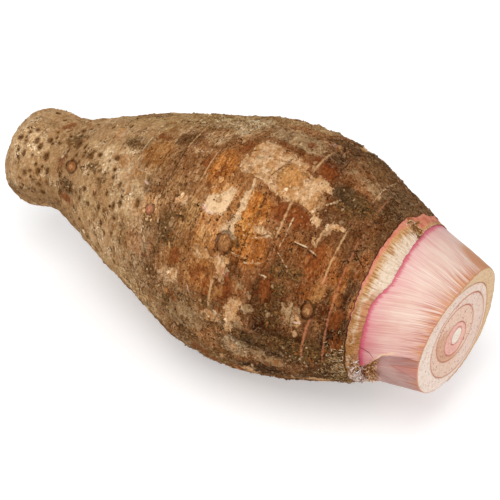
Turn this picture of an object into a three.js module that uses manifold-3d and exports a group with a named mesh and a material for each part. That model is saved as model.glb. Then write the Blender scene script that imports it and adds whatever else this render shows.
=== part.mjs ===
// A taro root trimmed for market and lying on its side: the corm with its neck and end knob, the
// collar of cut leaf bases on its shoulder, and the stub of nested leaf stalks, cut across.
// Millimetres. +X runs along the root from the knob to the cut end, and +Z is up.
// Places on the root are given by a station, the distance along the axis from the knob's tip, and
// by an angle about the axis: 0 is the top, 90 the side at -Y, 180 the underside.

import * as THREE from 'three'
import { mergeVertices } from 'three/addons/utils/BufferGeometryUtils.js'
import Module from 'manifold-3d'

const wasm = await Module()
wasm.setup()

// ---- Driving dimensions ----

const DEG = Math.PI / 180
const GAP = 0.3 // clearance between pieces that touch on the real root

const AXIS_HEIGHT = 59 // axis above the surface that the belly lies on
const KNOB_DROP = 6 // how far the axis bends down at the knob
const KNOB_BEND_END = 60 // station where that bend has died out

const KNOB_TIP_DEPTH = 13 // length of the knob's rounded end
const KNOB_BLUNTNESS = 2.3 // 2 would be a true ellipse
const KNOB_RADIUS = 24.6
// Station and radius of the flank from the knob, past the neck and the belly, to the shoulder.
const FLANK = [
  [13, 24.6], [21, 25], [31, 23.6], [44, 28], [62, 36.3], [82, 44], [102, 51.4],
  [122, 58], [142, 61.2], [162, 60.4], [182, 55.5], [198, 49.3], [215, 41.8],
]

const SKIN_EDGE = 210.2 // mean station where the brown skin ends
const SKIN_EDGE_SWAY = 2.4 // and how far that edge sways, being nearest the knob at its angle
const SKIN_EDGE_ANGLE = 70
const CROWN_STATION = 214 // flat top of the corm, which the leaf stalks stand on
const CROWN_RADIUS = 36.3

const STUB_FOOT_RADIUS = 40.1 // stub of leaf stalks, where it stands on the crown
const STUB_TAPER = 0.225 // loss of radius per millimetre of length
const CUT_STATION = 245.5 // middle of the cut face
const CUT_TILT = 5.5 // the cut runs slantwise, shortest at its angle
const CUT_TILT_ANGLE = 82
const STUB_LEAN = new THREE.Vector3(0, -3.2, -2) // sideways drift of the stub from crown to cut

const COLLAR_TOP = 220.2 // station where the collar of cut leaf bases meets the stub
const COLLAR_LOW = 5 // the collar is this much shorter along the side at -Y
const COLLAR_EDGE = 0.6 // thickness of the collar's upper edge

const RING_SCARS = [58, 70, 81, 93, 104, 116, 127, 138, 150, 161, 172, 184, 195, 204]
const SCAR_RISE = 0.7 // height of the ridge that each fallen leaf left
const SCAR_FOOT = 1.8 // and its half width along the root
const SCAR_SWAY = 2.2

// The leaf stalk walls, outside in, as fractions of the stub's radius. Each wall's outline is an
// ellipse: its middle and its half widths along the stub's broad and narrow directions.
const STALK_BROAD_ANGLE = -48
const STALK_OUTLINES = [
  { middle: [0, 0], half: [1, 1] },
  { middle: [-0.114, 0.006], half: [0.873, 0.924] },
  { middle: [-0.04, 0.11], half: [0.674, 0.728] },
  { middle: [-0.038, -0.012], half: [0.453, 0.525] },
  { middle: [-0.114, 0.092], half: [0.266, 0.304] },
  { middle: [-0.07, 0.09], half: [0.14, 0.14] },
]
const WRAP_START = 175 // the outermost stalk wraps round from this angle
const WRAP_END = 448 // to this one, and leaves the next stalk bare between them

// Side buds: station, angle, half length along the root, half width around it and rise.
const BUDS = [
  [192, 63, 3, 4, 2.2], [167, -18, 2.6, 3.4, 2], [104, 48, 2.2, 2.6, 1.6], [45, 41, 3, 4.4, 1.2],
  [176, 150, 3, 4, 2], [150, 232, 3.2, 4.2, 2.2], [118, 292, 2.6, 3.4, 1.8], [88, 205, 2.2, 3, 1.6],
]

const CORM_SIDES = 52
const STALK_SIDES = 48

// ---- Shape of the root ----

const flankCurve = new THREE.SplineCurve(FLANK.map(([s, r]) => new THREE.Vector2(s, r)))
const flankPoints = flankCurve.getPoints(300)

function radiusAt(station) {
  if (station <= KNOB_TIP_DEPTH) {
    const inward = 1 - Math.max(station, 0) / KNOB_TIP_DEPTH
    return KNOB_RADIUS * (1 - inward ** KNOB_BLUNTNESS) ** (1 / KNOB_BLUNTNESS)
  }
  const next = flankPoints.findIndex((point) => point.x >= station)
  const [a, b] = [flankPoints[next - 1] ?? flankPoints[0], flankPoints[next]]
  return THREE.MathUtils.mapLinear(station, a.x, b.x === a.x ? a.x + 1 : b.x, a.y, b.y)
}

function axisAt(station) {
  const along = Math.max(0, 1 - station / KNOB_BEND_END)
  return new THREE.Vector3(station, 0, AXIS_HEIGHT - KNOB_DROP * along * along)
}

function stubAxisAt(station) {
  const along = (station - CROWN_STATION) / (CUT_STATION - CROWN_STATION)
  return axisAt(station).addScaledVector(STUB_LEAN, along)
}

function outwardAt(degrees) {
  return new THREE.Vector3(0, -Math.sin(degrees * DEG), Math.cos(degrees * DEG))
}

function stubRadiusAt(station) {
  return STUB_FOOT_RADIUS - STUB_TAPER * (station - CROWN_STATION)
}

function skinEdgeAt(degrees) {
  return SKIN_EDGE - SKIN_EDGE_SWAY * Math.cos((degrees - SKIN_EDGE_ANGLE) * DEG)
}

function collarTopAt(degrees) {
  const around = THREE.MathUtils.euclideanModulo(degrees, 360)
  const rise = THREE.MathUtils.smoothstep(around, 30, 58)
  const fall = THREE.MathUtils.smoothstep(around, 115, 175)
  return COLLAR_TOP - COLLAR_LOW * (rise - fall)
}

// The corm isn't quite round: two broad sides, and three faint ones that turn along its length.
function lumpiness(station, degrees) {
  const broad = 0.010 * Math.cos(2 * (degrees - 40) * DEG)
  const faint = 0.012 * Math.cos((3 * degrees + station + 180) * DEG)
  return 1 + broad + faint
}

// ---- Closed bodies from grids of points ----

function bodyFrom(points, triangles) {
  const geometry = new THREE.BufferGeometry()
  const flat = points.flatMap((point) => [point.x, point.y, point.z])
  geometry.setAttribute('position', new THREE.Float32BufferAttribute(flat, 3))
  geometry.setIndex(triangles)
  return geometry
}

// Two triangles for a square of grid points, seen from outside in the order a, b, c, d.
function square(a, b, c, d) {
  return [a, b, c, a, c, d]
}

// A solid along a stack of rings, closed at both ends by a fan on the ring's middle.
function stackedBody(rings) {
  const sides = rings[0].length
  const points = rings.flat()
  const triangles = []
  for (let k = 0; k + 1 < rings.length; k += 1) {
    for (let j = 0; j < sides; j += 1) {
      const next = (j + 1) % sides
      triangles.push(...square(k * sides + j, k * sides + next, (k + 1) * sides + next, (k + 1) * sides + j))
    }
  }
  const ends = [[rings[0], 0], [rings.at(-1), (rings.length - 1) * sides]]
  ends.forEach(([ring, first], end) => {
    const middle = new THREE.Vector3()
    ring.forEach((point) => middle.addScaledVector(point, 1 / sides))
    points.push(middle)
    for (let j = 0; j < sides; j += 1) {
      const pair = [first + j, first + (j + 1) % sides]
      triangles.push(points.length - 1, ...(end ? pair : pair.reverse()))
    }
  })
  return bodyFrom(points, triangles)
}

// A wall around the axis. Each loop is the wall's section at one angle, walked foot to top on the
// outside and back down on the inside. An open wall has its first and last sections closed.
function wallBody(loops, isOpen) {
  const steps = loops[0].length
  const points = loops.flat()
  const triangles = []
  const spans = isOpen ? loops.length - 1 : loops.length
  for (let j = 0; j < spans; j += 1) {
    const [here, next] = [j * steps, ((j + 1) % loops.length) * steps]
    for (let k = 0; k < steps; k += 1) {
      const up = (k + 1) % steps
      triangles.push(...square(here + k, next + k, next + up, here + up))
    }
  }
  if (isOpen) {
    const last = (loops.length - 1) * steps
    for (let k = 0; k < steps / 2 - 1; k += 1) {
      const [low, high] = [steps - 1 - k, steps - 2 - k]
      triangles.push(...square(k, k + 1, high, low))
      triangles.push(...square(last + low, last + high, last + k + 1, last + k))
    }
  }
  return bodyFrom(points, triangles)
}

function toManifold(geometry) {
  const bare = geometry.index ? geometry.toNonIndexed() : geometry.clone()
  bare.deleteAttribute('normal')
  bare.deleteAttribute('uv')
  const merged = mergeVertices(bare, 1e-4)
  return new wasm.Manifold(new wasm.Mesh({
    numProp: 3,
    vertProperties: new Float32Array(merged.attributes.position.array),
    triVerts: new Uint32Array(merged.index.array),
  }))
}

function fromManifold(solid) {
  const mesh = solid.getMesh()
  const geometry = new THREE.BufferGeometry()
  geometry.setAttribute('position', new THREE.BufferAttribute(new Float32Array(mesh.vertProperties), 3))
  geometry.setIndex(new THREE.BufferAttribute(new Uint32Array(mesh.triVerts), 1))
  return geometry
}

// ---- Corm ----

function ringAngles(count) {
  return Array.from({ length: count }, (_, j) => (360 * j) / count)
}

function skinPoint(station, degrees, rise = 0) {
  const radius = radiusAt(station) * lumpiness(station, degrees) + rise
  return axisAt(station).addScaledVector(outwardAt(degrees), radius)
}

// Rings are listed as a station and a rise. Between the neck and the shoulder they sway with the
// leaf scars, and the last one follows the edge of the skin.
function cormRings() {
  const tip = [8, 22, 38, 56, 73].map((turn) => [KNOB_TIP_DEPTH * (1 - Math.cos(turn * DEG)), 0])
  const knob = [13, 18, 23, 28, 33, 38, 43, 48].map((station) => [station, 0])
  const scars = RING_SCARS.flatMap((station) => [
    [station - SCAR_FOOT, 0], [station, SCAR_RISE], [station + SCAR_FOOT, 0],
  ])
  const angles = ringAngles(CORM_SIDES)
  const rings = [...tip, ...knob, ...scars].map(([station, rise]) => {
    const settled = THREE.MathUtils.smoothstep(station, 45, 75)
    return angles.map((degrees) => {
      const sway = SCAR_SWAY * Math.sin((degrees - 20) * DEG) * settled
      const fade = 1 - THREE.MathUtils.smoothstep(station, 190, SKIN_EDGE)
      return skinPoint(station + sway * fade, degrees, rise)
    })
  })
  const crownShelf = (station) => (degrees) => (
    axisAt(station(degrees)).addScaledVector(outwardAt(degrees), CROWN_RADIUS)
  )
  rings.push(angles.map((degrees) => skinPoint(skinEdgeAt(degrees), degrees)))
  rings.push(angles.map(crownShelf((degrees) => skinEdgeAt(degrees))))
  rings.push(angles.map(crownShelf(() => CROWN_STATION)))
  return rings
}

function budSolid([station, degrees, halfLength, halfWidth, rise]) {
  const dome = new THREE.SphereGeometry(1, 12, 8)
  const [along, outward] = [new THREE.Vector3(1, 0, 0), outwardAt(degrees)]
  const around = new THREE.Vector3().crossVectors(along, outward)
  const turn = new THREE.Matrix4().makeBasis(along, outward, around)
  turn.scale(new THREE.Vector3(halfLength, rise, halfWidth))
  turn.setPosition(skinPoint(station, degrees))
  dome.applyMatrix4(turn)
  return toManifold(dome)
}

function cormGeometry() {
  let corm = toManifold(stackedBody(cormRings()))
  BUDS.forEach((bud) => {
    corm = corm.add(budSolid(bud))
  })
  const span = 4 * AXIS_HEIGHT
  const ground = new THREE.BoxGeometry(2 * span, span, span).translate(span / 2, 0, -span / 2)
  return fromManifold(corm.subtract(toManifold(ground)))
}

// ---- Collar of cut leaf bases ----

function collarGeometry() {
  const foot = CROWN_STATION
  const loops = ringAngles(CORM_SIDES).map((degrees) => {
    const [edge, top] = [skinEdgeAt(degrees) + GAP, collarTopAt(degrees)]
    const middle = (edge + top) / 2
    const edgeRadius = radiusAt(edge) * lumpiness(edge, degrees) - GAP
    const topRadius = stubRadiusAt(top) + GAP + COLLAR_EDGE
    const on = (axis, radius) => axis.addScaledVector(outwardAt(degrees), radius)
    return [
      on(axisAt(edge), edgeRadius),
      on(stubAxisAt(middle), (edgeRadius + topRadius) / 2 + 0.5),
      on(stubAxisAt(top), topRadius),
      on(stubAxisAt(top), stubRadiusAt(top) + GAP),
      on(axisAt(foot), stubRadiusAt(foot) + GAP),
      on(axisAt(foot), CROWN_RADIUS + GAP),
      on(axisAt(edge), CROWN_RADIUS + GAP),
    ]
  })
  return wallBody(loops, false)
}

// ---- Leaf stalks ----

// A point on a stalk outline. A shrink greater than 0 draws the outline in by that much.
function stalkPoint(outline, degrees, station, shrink) {
  const turn = (degrees - STALK_BROAD_ANGLE) * DEG
  const radius = stubRadiusAt(station)
  const along = (axis) => (
    outline.middle[axis] * radius
    + (outline.half[axis] * radius - shrink) * (axis ? Math.sin(-turn) : Math.cos(turn))
  )
  return stubAxisAt(station)
    .addScaledVector(outwardAt(STALK_BROAD_ANGLE), along(0))
    .addScaledVector(outwardAt(STALK_BROAD_ANGLE - 90), along(1))
}

// Slides a stalk's side line on to the slanted cut.
function cutPoint(outline, degrees, shrink) {
  const foot = stalkPoint(outline, degrees, CROWN_STATION + GAP, shrink)
  const top = stalkPoint(outline, degrees, CUT_STATION, shrink)
  const normal = new THREE.Vector3(Math.cos(CUT_TILT * DEG), 0, 0)
    .addScaledVector(outwardAt(CUT_TILT_ANGLE), Math.sin(CUT_TILT * DEG))
  const plane = new THREE.Plane().setFromNormalAndCoplanarPoint(normal, stubAxisAt(CUT_STATION))
  const direction = top.clone().sub(foot).normalize()
  const distance = -plane.distanceToPoint(foot) / normal.dot(direction)
  return foot.addScaledVector(direction, distance)
}

function stalkSide(outline, degrees, shrink) {
  const foot = stalkPoint(outline, degrees, CROWN_STATION + GAP, shrink)
  const top = cutPoint(outline, degrees, shrink)
  return [foot, foot.clone().lerp(top, 0.5), top]
}

function stalkGeometry(index) {
  const isOutermost = index === 0
  const outer = STALK_OUTLINES[index]
  const inner = STALK_OUTLINES[index + 1]
  const shrink = isOutermost ? 0 : GAP
  const span = WRAP_END - WRAP_START
  const angles = isOutermost
    ? Array.from({ length: STALK_SIDES + 1 }, (_, j) => WRAP_START + (span * j) / STALK_SIDES)
    : ringAngles(STALK_SIDES)
  if (!inner) {
    const sides = angles.map((degrees) => stalkSide(outer, degrees, shrink))
    return stackedBody([0, 1, 2].map((k) => sides.map((side) => side[k])))
  }
  const loops = angles.map((degrees) => [
    ...stalkSide(outer, degrees, shrink),
    ...stalkSide(inner, degrees, 0).reverse(),
  ])
  return wallBody(loops, isOutermost)
}

// ---- Assembly ----

const finishes = {
  skin: new THREE.MeshStandardMaterial({ color: 0x8a5f38, roughness: 0.9, metalness: 0 }),
  cutLeafBase: new THREE.MeshStandardMaterial({ color: 0xd8b48c, roughness: 0.85, metalness: 0 }),
  outerStalk: new THREE.MeshStandardMaterial({ color: 0xe6b8a4, roughness: 0.55, metalness: 0 }),
  innerStalk: new THREE.MeshStandardMaterial({ color: 0xe2cdbd, roughness: 0.5, metalness: 0 }),
  pinkStalk: new THREE.MeshStandardMaterial({ color: 0xdc9f95, roughness: 0.5, metalness: 0 }),
  heart: new THREE.MeshStandardMaterial({ color: 0xeee2d2, roughness: 0.5, metalness: 0 }),
}

function piece(name, geometry, material) {
  const mesh = new THREE.Mesh(geometry, material)
  mesh.name = name
  return mesh
}

const root = new THREE.Group()
root.add(piece('corm', cormGeometry(), finishes.skin))
root.add(piece('leaf_base_collar', collarGeometry(), finishes.cutLeafBase))
root.add(piece('leaf_stalk_1_outer', stalkGeometry(0), finishes.outerStalk))
root.add(piece('leaf_stalk_2', stalkGeometry(1), finishes.innerStalk))
root.add(piece('leaf_stalk_3', stalkGeometry(2), finishes.innerStalk))
root.add(piece('leaf_stalk_4', stalkGeometry(3), finishes.innerStalk))
root.add(piece('leaf_stalk_5_pink', stalkGeometry(4), finishes.pinkStalk))
root.add(piece('rolled_leaf_heart', stalkGeometry(5), finishes.heart))

// The origin is under the middle of the root, on the surface that it lies on.
const bounds = new THREE.Box3().setFromObject(root)
const middle = bounds.getCenter(new THREE.Vector3())
root.position.set(-middle.x, -middle.y, -bounds.min.z)

export default root
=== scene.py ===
"""The looks of a taro root trimmed for market and lying on its side.

Millimetres, until a mesh is made. A place on the root is a station, the distance along its axis
from the knob's tip, and an angle about that axis: 0 is the top, 90 the side at -Y, 180 the underside.
An oval is a station, an angle, a half length in millimetres and a half width in degrees.
"""

import itertools
import math

import bpy
import numpy as np
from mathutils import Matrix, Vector
from mathutils.bvhtree import BVHTree


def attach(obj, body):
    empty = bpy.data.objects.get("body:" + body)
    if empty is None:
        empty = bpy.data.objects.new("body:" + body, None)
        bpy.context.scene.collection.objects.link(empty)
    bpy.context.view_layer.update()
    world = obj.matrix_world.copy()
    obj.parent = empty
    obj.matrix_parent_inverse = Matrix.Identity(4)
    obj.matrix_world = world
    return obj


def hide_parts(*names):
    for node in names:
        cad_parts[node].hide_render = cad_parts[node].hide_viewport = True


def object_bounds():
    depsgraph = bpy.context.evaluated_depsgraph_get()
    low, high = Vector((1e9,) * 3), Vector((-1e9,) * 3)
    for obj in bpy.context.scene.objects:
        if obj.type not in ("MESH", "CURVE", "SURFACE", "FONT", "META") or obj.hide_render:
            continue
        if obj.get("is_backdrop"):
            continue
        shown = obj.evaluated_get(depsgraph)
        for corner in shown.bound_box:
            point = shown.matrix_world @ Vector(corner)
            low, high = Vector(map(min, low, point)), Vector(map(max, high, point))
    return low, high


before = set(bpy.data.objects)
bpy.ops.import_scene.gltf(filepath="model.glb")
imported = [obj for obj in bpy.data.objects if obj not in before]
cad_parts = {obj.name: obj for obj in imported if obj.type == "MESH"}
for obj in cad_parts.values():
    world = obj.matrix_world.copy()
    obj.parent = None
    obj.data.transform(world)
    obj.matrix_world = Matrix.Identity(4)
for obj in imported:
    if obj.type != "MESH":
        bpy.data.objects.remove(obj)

cad_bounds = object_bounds()
MM = 0.001
DEG = math.pi / 180

# ---- Shape shared with the CAD solids ----

CROWN_STATION = 214.0  # flat end of the corm, which the leaf stalks stand on
KNOB_DROP = 6.0  # the axis bends down by this much at the knob
KNOB_BEND_END = 60.0
SKIN_EDGE = 210.2  # mean station of the brown skin's edge, and how far it sways
SKIN_EDGE_SWAY = 2.4
SKIN_EDGE_ANGLE = 70
CROWN_RADIUS = 36.3

# ---- Colours, as they look in daylight ----

DUST = "b8926a"
ORANGE = "b56c36"
DARK = "4e321b"
SOIL = "452d18"
TINT_POWERS = (0.68, 0.98, 1.36)  # how a darker place's red, green and blue fall: it grows redder


def linear(colour):
    """An sRGB hex colour as linear red, green and blue."""
    parts = [int(colour[k:k + 2], 16) / 255 for k in (0, 2, 4)]
    return [c / 12.92 if c < 0.04045 else ((c + 0.055) / 1.055) ** 2.4 for c in parts]


# ---- Numbers ----

def smoothstep(value, low, high):
    part = np.clip((value - low) / (high - low), 0, 1)
    return part * part * (3 - 2 * part)


def band(value, start, full, fading, gone):
    """1 from full to fading, and 0 before start and after gone."""
    return smoothstep(value, start, full) * (1 - smoothstep(value, fading, gone))


def bell(offset, width):
    return np.exp(-(offset / width) ** 2)


def turned(degrees):
    """Degrees brought into -180 to 180."""
    return (degrees + 180) % 360 - 180


def reach_in(oval, station, angle):
    """0 in the middle of an oval and 1 on its rim."""
    middle, turn, half_length, half_width = oval
    return np.hypot((station - middle) / half_length, turned(angle - turn) / half_width)


def along(line, station):
    """What a line of (station, value) corners says at a station."""
    return np.interp(station, *zip(*line))


def sizes(size):
    """Sizes in x, y and z, from a single one or from one along the root and one across it."""
    length, width = size if isinstance(size, tuple) else (size, size)
    return length, width, width


def noise(points, size, seed):
    """Smooth noise, about -1 to 1, at points in millimetres."""
    rng = np.random.default_rng(seed)
    table = rng.permutation(256)
    slopes = rng.normal(size=(256, 3))
    slopes /= np.linalg.norm(slopes, axis=1)[:, None]
    cells = np.asarray(points, float) / sizes(size)
    base = np.floor(cells).astype(int)
    part = cells - base
    ease = part ** 3 * (part * (part * 6 - 15) + 10)
    total = np.zeros(cells.shape[:-1])
    for corner in np.ndindex(2, 2, 2):
        x, y, z = np.moveaxis((base + corner) & 255, -1, 0)
        key = table[(table[(table[x] + y) & 255] + z) & 255]
        weight = np.prod(np.where(corner, ease, 1 - ease), axis=-1)
        total += weight * np.sum(slopes[key] * (part - corner), axis=-1)
    return total * 1.7


# ---- Places on the root ----

def node_points(name):
    return np.array([v.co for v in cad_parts[name].data.vertices]) / MM


def tree_of(name):
    """The CAD solid of a node as a tree for casting rays, in millimetres."""
    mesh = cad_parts[name].data
    return BVHTree.FromPolygons([v.co / MM for v in mesh.vertices], [list(p.vertices) for p in mesh.polygons])


def middle_of(points):
    return (points.min(0) + points.max(0)) / 2


corm_points = node_points("corm")
crown = corm_points[corm_points[:, 0] > corm_points[:, 0].max() - 0.01]
STATION_ZERO = crown[0, 0] - CROWN_STATION  # x of station 0
AXIS_Y, AXIS_Z = middle_of(crown)[1:]


def axis_at(station):
    station = np.asarray(station, float)
    bend = np.maximum(0, 1 - station / KNOB_BEND_END) ** 2
    return np.stack([STATION_ZERO + station, AXIS_Y + 0 * station, AXIS_Z - KNOB_DROP * bend], -1)


def outward_at(degrees):
    turn = np.asarray(degrees, float) * DEG
    return np.stack([0 * turn, -np.sin(turn), np.cos(turn)], -1)


def evenly_round(count):
    """Angles of that many columns, from the underside round to it again."""
    return 360 * np.arange(count) / count - 180


def skin_edge_at(degrees):
    return SKIN_EDGE - SKIN_EDGE_SWAY * np.cos((degrees - SKIN_EDGE_ANGLE) * DEG)


def cast(tree, origins, directions):
    """Distance along each ray to the solid, and 0 where it misses."""
    found = np.zeros(origins.shape[:-1])
    for at in np.ndindex(found.shape):
        found[at] = tree.ray_cast(Vector(origins[at]), Vector(directions[at]))[3] or 0
    return found


def blurred(field, row_steps, column_steps):
    """A field of rows and columns smoothed by that many steps each way. Columns join up."""
    for _ in range(column_steps):
        field = field / 2 + (np.roll(field, 1, 1) + np.roll(field, -1, 1)) / 4
    for _ in range(row_steps):
        padded = np.concatenate([field[:1], field, field[-1:]])
        field = padded[1:-1] / 2 + (padded[:-2] + padded[2:]) / 4
    return field


# ---- Grid of the skin ----

CAP_CENTRE = 20.0  # station that the rays into the knob's end start from
SEAM_STATION = 105.0  # where the skin's two pieces meet
CAP_ROWS, CONE_ROWS, BODY_ROWS = 60, 165, 219
COLUMNS = 440
FINER_SIDE = (-60, 125)  # angles where the columns stand closer
FINER_BY = 0.6
CAST_EVERY = 3
SMOOTHING = (60, 26)  # steps that the cast distances are smoothed by, along and around
SHOULDER_SLOPE = 0.44  # how fast the radius falls at the skin's edge
SKIN_OVERLAP = 1.3  # how far the skin reaches past the solid's edge, and how ragged that edge is
RAGGEDNESS = 0.55
LIST_SHIFT = (-1.0, -0.8)  # from a place to the station and angle that the lists below give it


def column_angles():
    """Angles of the columns, from just past the underside round to it again."""
    turn = np.linspace(-180, 180, 3601)
    low, high = FINER_SIDE
    density = 1 + FINER_BY * band(turn, low - 20, low, high, high + 20)
    reach = np.concatenate([[0], np.cumsum((density[1:] + density[:-1]) / 2)])
    return np.interp(np.arange(COLUMNS) / COLUMNS, reach / reach[-1], turn)


def cast_grid(tree, origins, rays):
    """Distances for a grid of rays, cast at some of its places and filled in between them."""
    every_row = np.arange(len(origins))
    rows = np.unique(np.append(every_row[::CAST_EVERY], every_row[-1]))
    columns = np.append(np.arange(0, COLUMNS, CAST_EVERY), COLUMNS)
    picked = np.ix_(rows, columns % COLUMNS)
    found = cast(tree, origins[picked], rays[picked])
    found = np.array([np.interp(every_row, rows, one) for one in found.T]).T
    return np.array([np.interp(np.arange(COLUMNS), columns, one) for one in found])


class Skin:
    """The skin as rows from the knob's tip to the shoulder and columns around the root."""

    def __init__(self):
        self.angles = column_angles()
        self.edge = self.edge_stations()
        front = np.linspace(CAP_CENTRE, SEAM_STATION, CONE_ROWS + 1)[1:]
        back = np.linspace(SEAM_STATION, SKIN_EDGE, BODY_ROWS + 1)[1:]
        stations = np.concatenate([front, back])[:, None]
        stations = stations + (self.edge - SKIN_EDGE) * smoothstep(stations, 190, SKIN_EDGE)

        across = outward_at(self.angles)[None]
        turn = (90 * (np.arange(1, CAP_ROWS + 1) / CAP_ROWS) * DEG)[:, None, None]
        cap_rays = np.sin(turn) * across - np.cos(turn) * np.array([1, 0, 0])
        cap_origins = np.broadcast_to(axis_at(CAP_CENTRE), cap_rays.shape)
        body_rays = np.broadcast_to(across, stations.shape + (3,))
        inside = np.minimum(stations, skin_edge_at(self.angles) - 0.4)
        self.rays = np.concatenate([cap_rays, body_rays])
        starts = np.concatenate([cap_origins, axis_at(inside)])
        self.reach = blurred(cast_grid(tree_of("corm"), starts, self.rays), *SMOOTHING)
        self.reach[CAP_ROWS:] -= SHOULDER_SLOPE * (stations - inside)

        self.base = np.concatenate([cap_origins, axis_at(stations)]) + self.rays * self.reach[..., None]
        self.station = self.base[..., 0] - STATION_ZERO
        self.angle = np.broadcast_to(self.angles, self.station.shape)
        self.s, self.a = self.station + LIST_SHIFT[0], self.angle + LIST_SHIFT[1]
        self.radius = np.maximum(np.linalg.norm((self.base - axis_at(self.station))[..., 1:], axis=-1), 1)
        self.width = DEG * self.radius  # of a degree

    def edge_stations(self):
        turn = self.angles * DEG
        ring = 40 * np.stack([0 * turn, np.sin(turn), np.cos(turn)], -1)
        ragged = noise(ring, 5, 11) + 0.7 * noise(ring, 1.8, 12)
        upper = band(-self.angles, 9, 17, 52, 75)
        edge = skin_edge_at(self.angles) + SKIN_OVERLAP + RAGGEDNESS * ragged
        return edge + 2.1 * upper + 0.9 * bell(turned(self.angles + 40), 9)

    def blot(self, *oval):
        """How far inside an oval each place is, in millimetres."""
        return (1 - reach_in(oval, self.s, self.a)) * np.minimum(oval[2], oval[3] * self.width)

    def from_line(self, corners):
        """How far each place is from a line through (station, angle) corners, in millimetres."""
        nearest = np.full(self.s.shape, 1e9)
        for (s0, a0), (s1, a1) in zip(corners, corners[1:]):
            x, y = self.s - s0, turned(self.a - a0) * self.width
            leg_x, leg_y = s1 - s0, (a1 - a0) * self.width
            share = np.clip((x * leg_x + y * leg_y) / (leg_x ** 2 + leg_y ** 2), 0, 1)
            nearest = np.minimum(nearest, np.hypot(x - share * leg_x, y - share * leg_y))
        return nearest

    def outline(self, corners):
        """How far inside a closed outline of (station, angle) corners each place is, in millimetres."""
        corners = corners + corners[:1]
        inside = np.zeros(self.s.shape, bool)
        for (s0, a0), (s1, a1) in zip(corners, corners[1:]):
            crosses = (s0 > self.s) != (s1 > self.s)
            level = (self.s - s0) * (a1 - a0) / (s1 - s0 or 1)
            inside ^= crosses & (turned(self.a - a0) < level)
        return np.where(inside, 1, -1) * self.from_line(corners)

    def path(self, half_width, corners):
        """How far inside a line through (station, angle) corners each place is, in millimetres."""
        return half_width - self.from_line(corners)


skin = Skin()
places = skin.base  # points in millimetres for noise

# ---- Marks on the skin ----

# Rings left by fallen leaves: their stations at an angle of 30 degrees.
RINGS = [
    61, 70, 80, 90.4, 98.5, 107, 115.3, 123.7, 131, 137.2, 147.3, 156.6, 168.1, 177, 185.5, 194, 200.8,
    206.5,
]
RING_SWAY = 1.2
RING_GAP = 8.0  # mean distance between them

# Each line on a ring: the ring's station, the angles that it runs between, its half width.
PALE_LINES = [
    (123.7, 9, 28, 0.3), (131, -5, 3, 0.9), (147.3, 64, 79, 0.5), (168.1, -17, 3, 0.35),
    (168.1, 18, 38, 0.35), (194, 20, 34, 0.35), (194, 34, 50, 0.35), (107, -8, 12, 0.3),
    (185.5, 26, 34, 0.5), (80, 62, 90, 0.4), (70, 10, 30, 0.4), (113.5, 8, 22, 0.25), (137.2, 24, 30, 0.3),
]
PINK_LINES = [(194, 44, 51, 0.5), (206.5, 40, 60, 0.3)]
DARK_LINES = [
    (90.4, 58, 88, 0.25), (107, 10, 42, 0.25), (137.2, 14, 24, 0.3), (137.2, 40, 54, 0.25),
    (147.3, 36, 43, 0.25), (156.6, 20, 60, 0.22), (168.1, 40, 62, 0.25), (177, -14, 4, 0.25),
    (123.7, 29, 60, 0.15), (98.5, 5, 35, 0.15), (185.5, 40, 80, 0.15), (177, 58, 92, 0.15),
    (113.5, 22, 36, 0.2),
]

# A long pale scar above a bud.
SPINDLE = [
    (147.6, 18), (148.8, 19), (149.6, 25), (150.2, 31), (149.4, 37), (150, 42), (150.6, 44.8), (143.4, 45),
    (145, 41), (146.8, 36), (147, 29), (147.2, 23),
]
# The brightest worn place.
BRIGHT_PATCH = [
    (131, 32), (134, 31), (138, 29), (139, 26), (143, 25.5), (143, 34), (141, 37), (136, 39.5), (131, 37.5)]
# Worn places where the cream layer under the bark shows, as outlines of (station, angle).
CREAM_OUTLINES = [
    [(139, 1), (141, -3), (144, -4), (148, -2), (153, 0), (156, -2), (160, 0), (165, 1), (167, 5), (168, 8),
     (170, 4), (174, 3), (178, 4), (180, 8), (177, 10), (176, 13), (179, 19), (184, 25), (180, 25),
     (176, 21), (170, 20), (164, 21), (158, 20), (152, 18.5), (146, 17), (140, 17), (137, 15), (138, 8)],
    BRIGHT_PATCH, SPINDLE,
    [(155.5, 33), (158, 36), (162, 36.5), (167, 35.5), (166.5, 38), (160, 39), (156, 38)],
    [(134, 54), (138, 53.5), (142, 54), (143, 57), (138, 57), (134.5, 58)],
    [(145.6, 53.5), (152, 53), (153, 58), (151, 62.5), (147, 62), (145, 58)],
    [(154.4, 75), (156.5, 71), (160, 69.5), (163, 70.5), (162.6, 74), (161, 78), (159.6, 82), (157.6, 90),
     (155, 88), (155, 80)],
    [(185.6, 69), (187.4, 67), (188.6, 72), (188, 75), (186, 74)],
    [(185, 22), (189, 20), (193, 20), (193.5, 22), (189, 23), (187, 27), (185.5, 26)],
    [(182.2, 29), (184, 29), (184, 34), (182.4, 34)], [(157.5, 94), (161, 95), (162, 99), (158, 100)],
    [(145, 80), (152, 80.5), (153, 84), (147, 86), (144, 83)],
    [(120, 70), (127, 68), (129, 74), (122, 77), (117, 74)], [(115, 34), (122, 36), (121, 40), (116, 39)],
    [(84.5, 20), (86, 22), (87, 28.5), (95, 30), (94, 32), (88, 33), (86, 40), (90, 44), (86, 46), (82, 40),
     (83, 30)],
    [(92, 46), (98, 45), (100, 52), (96, 58), (92, 54)], [(60, 1), (66, 0), (69, 8), (68, 14), (62, 12)],
    [(71, 22), (80, 23), (83, 28), (82, 33), (75, 31), (70, 27)],
]
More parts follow.
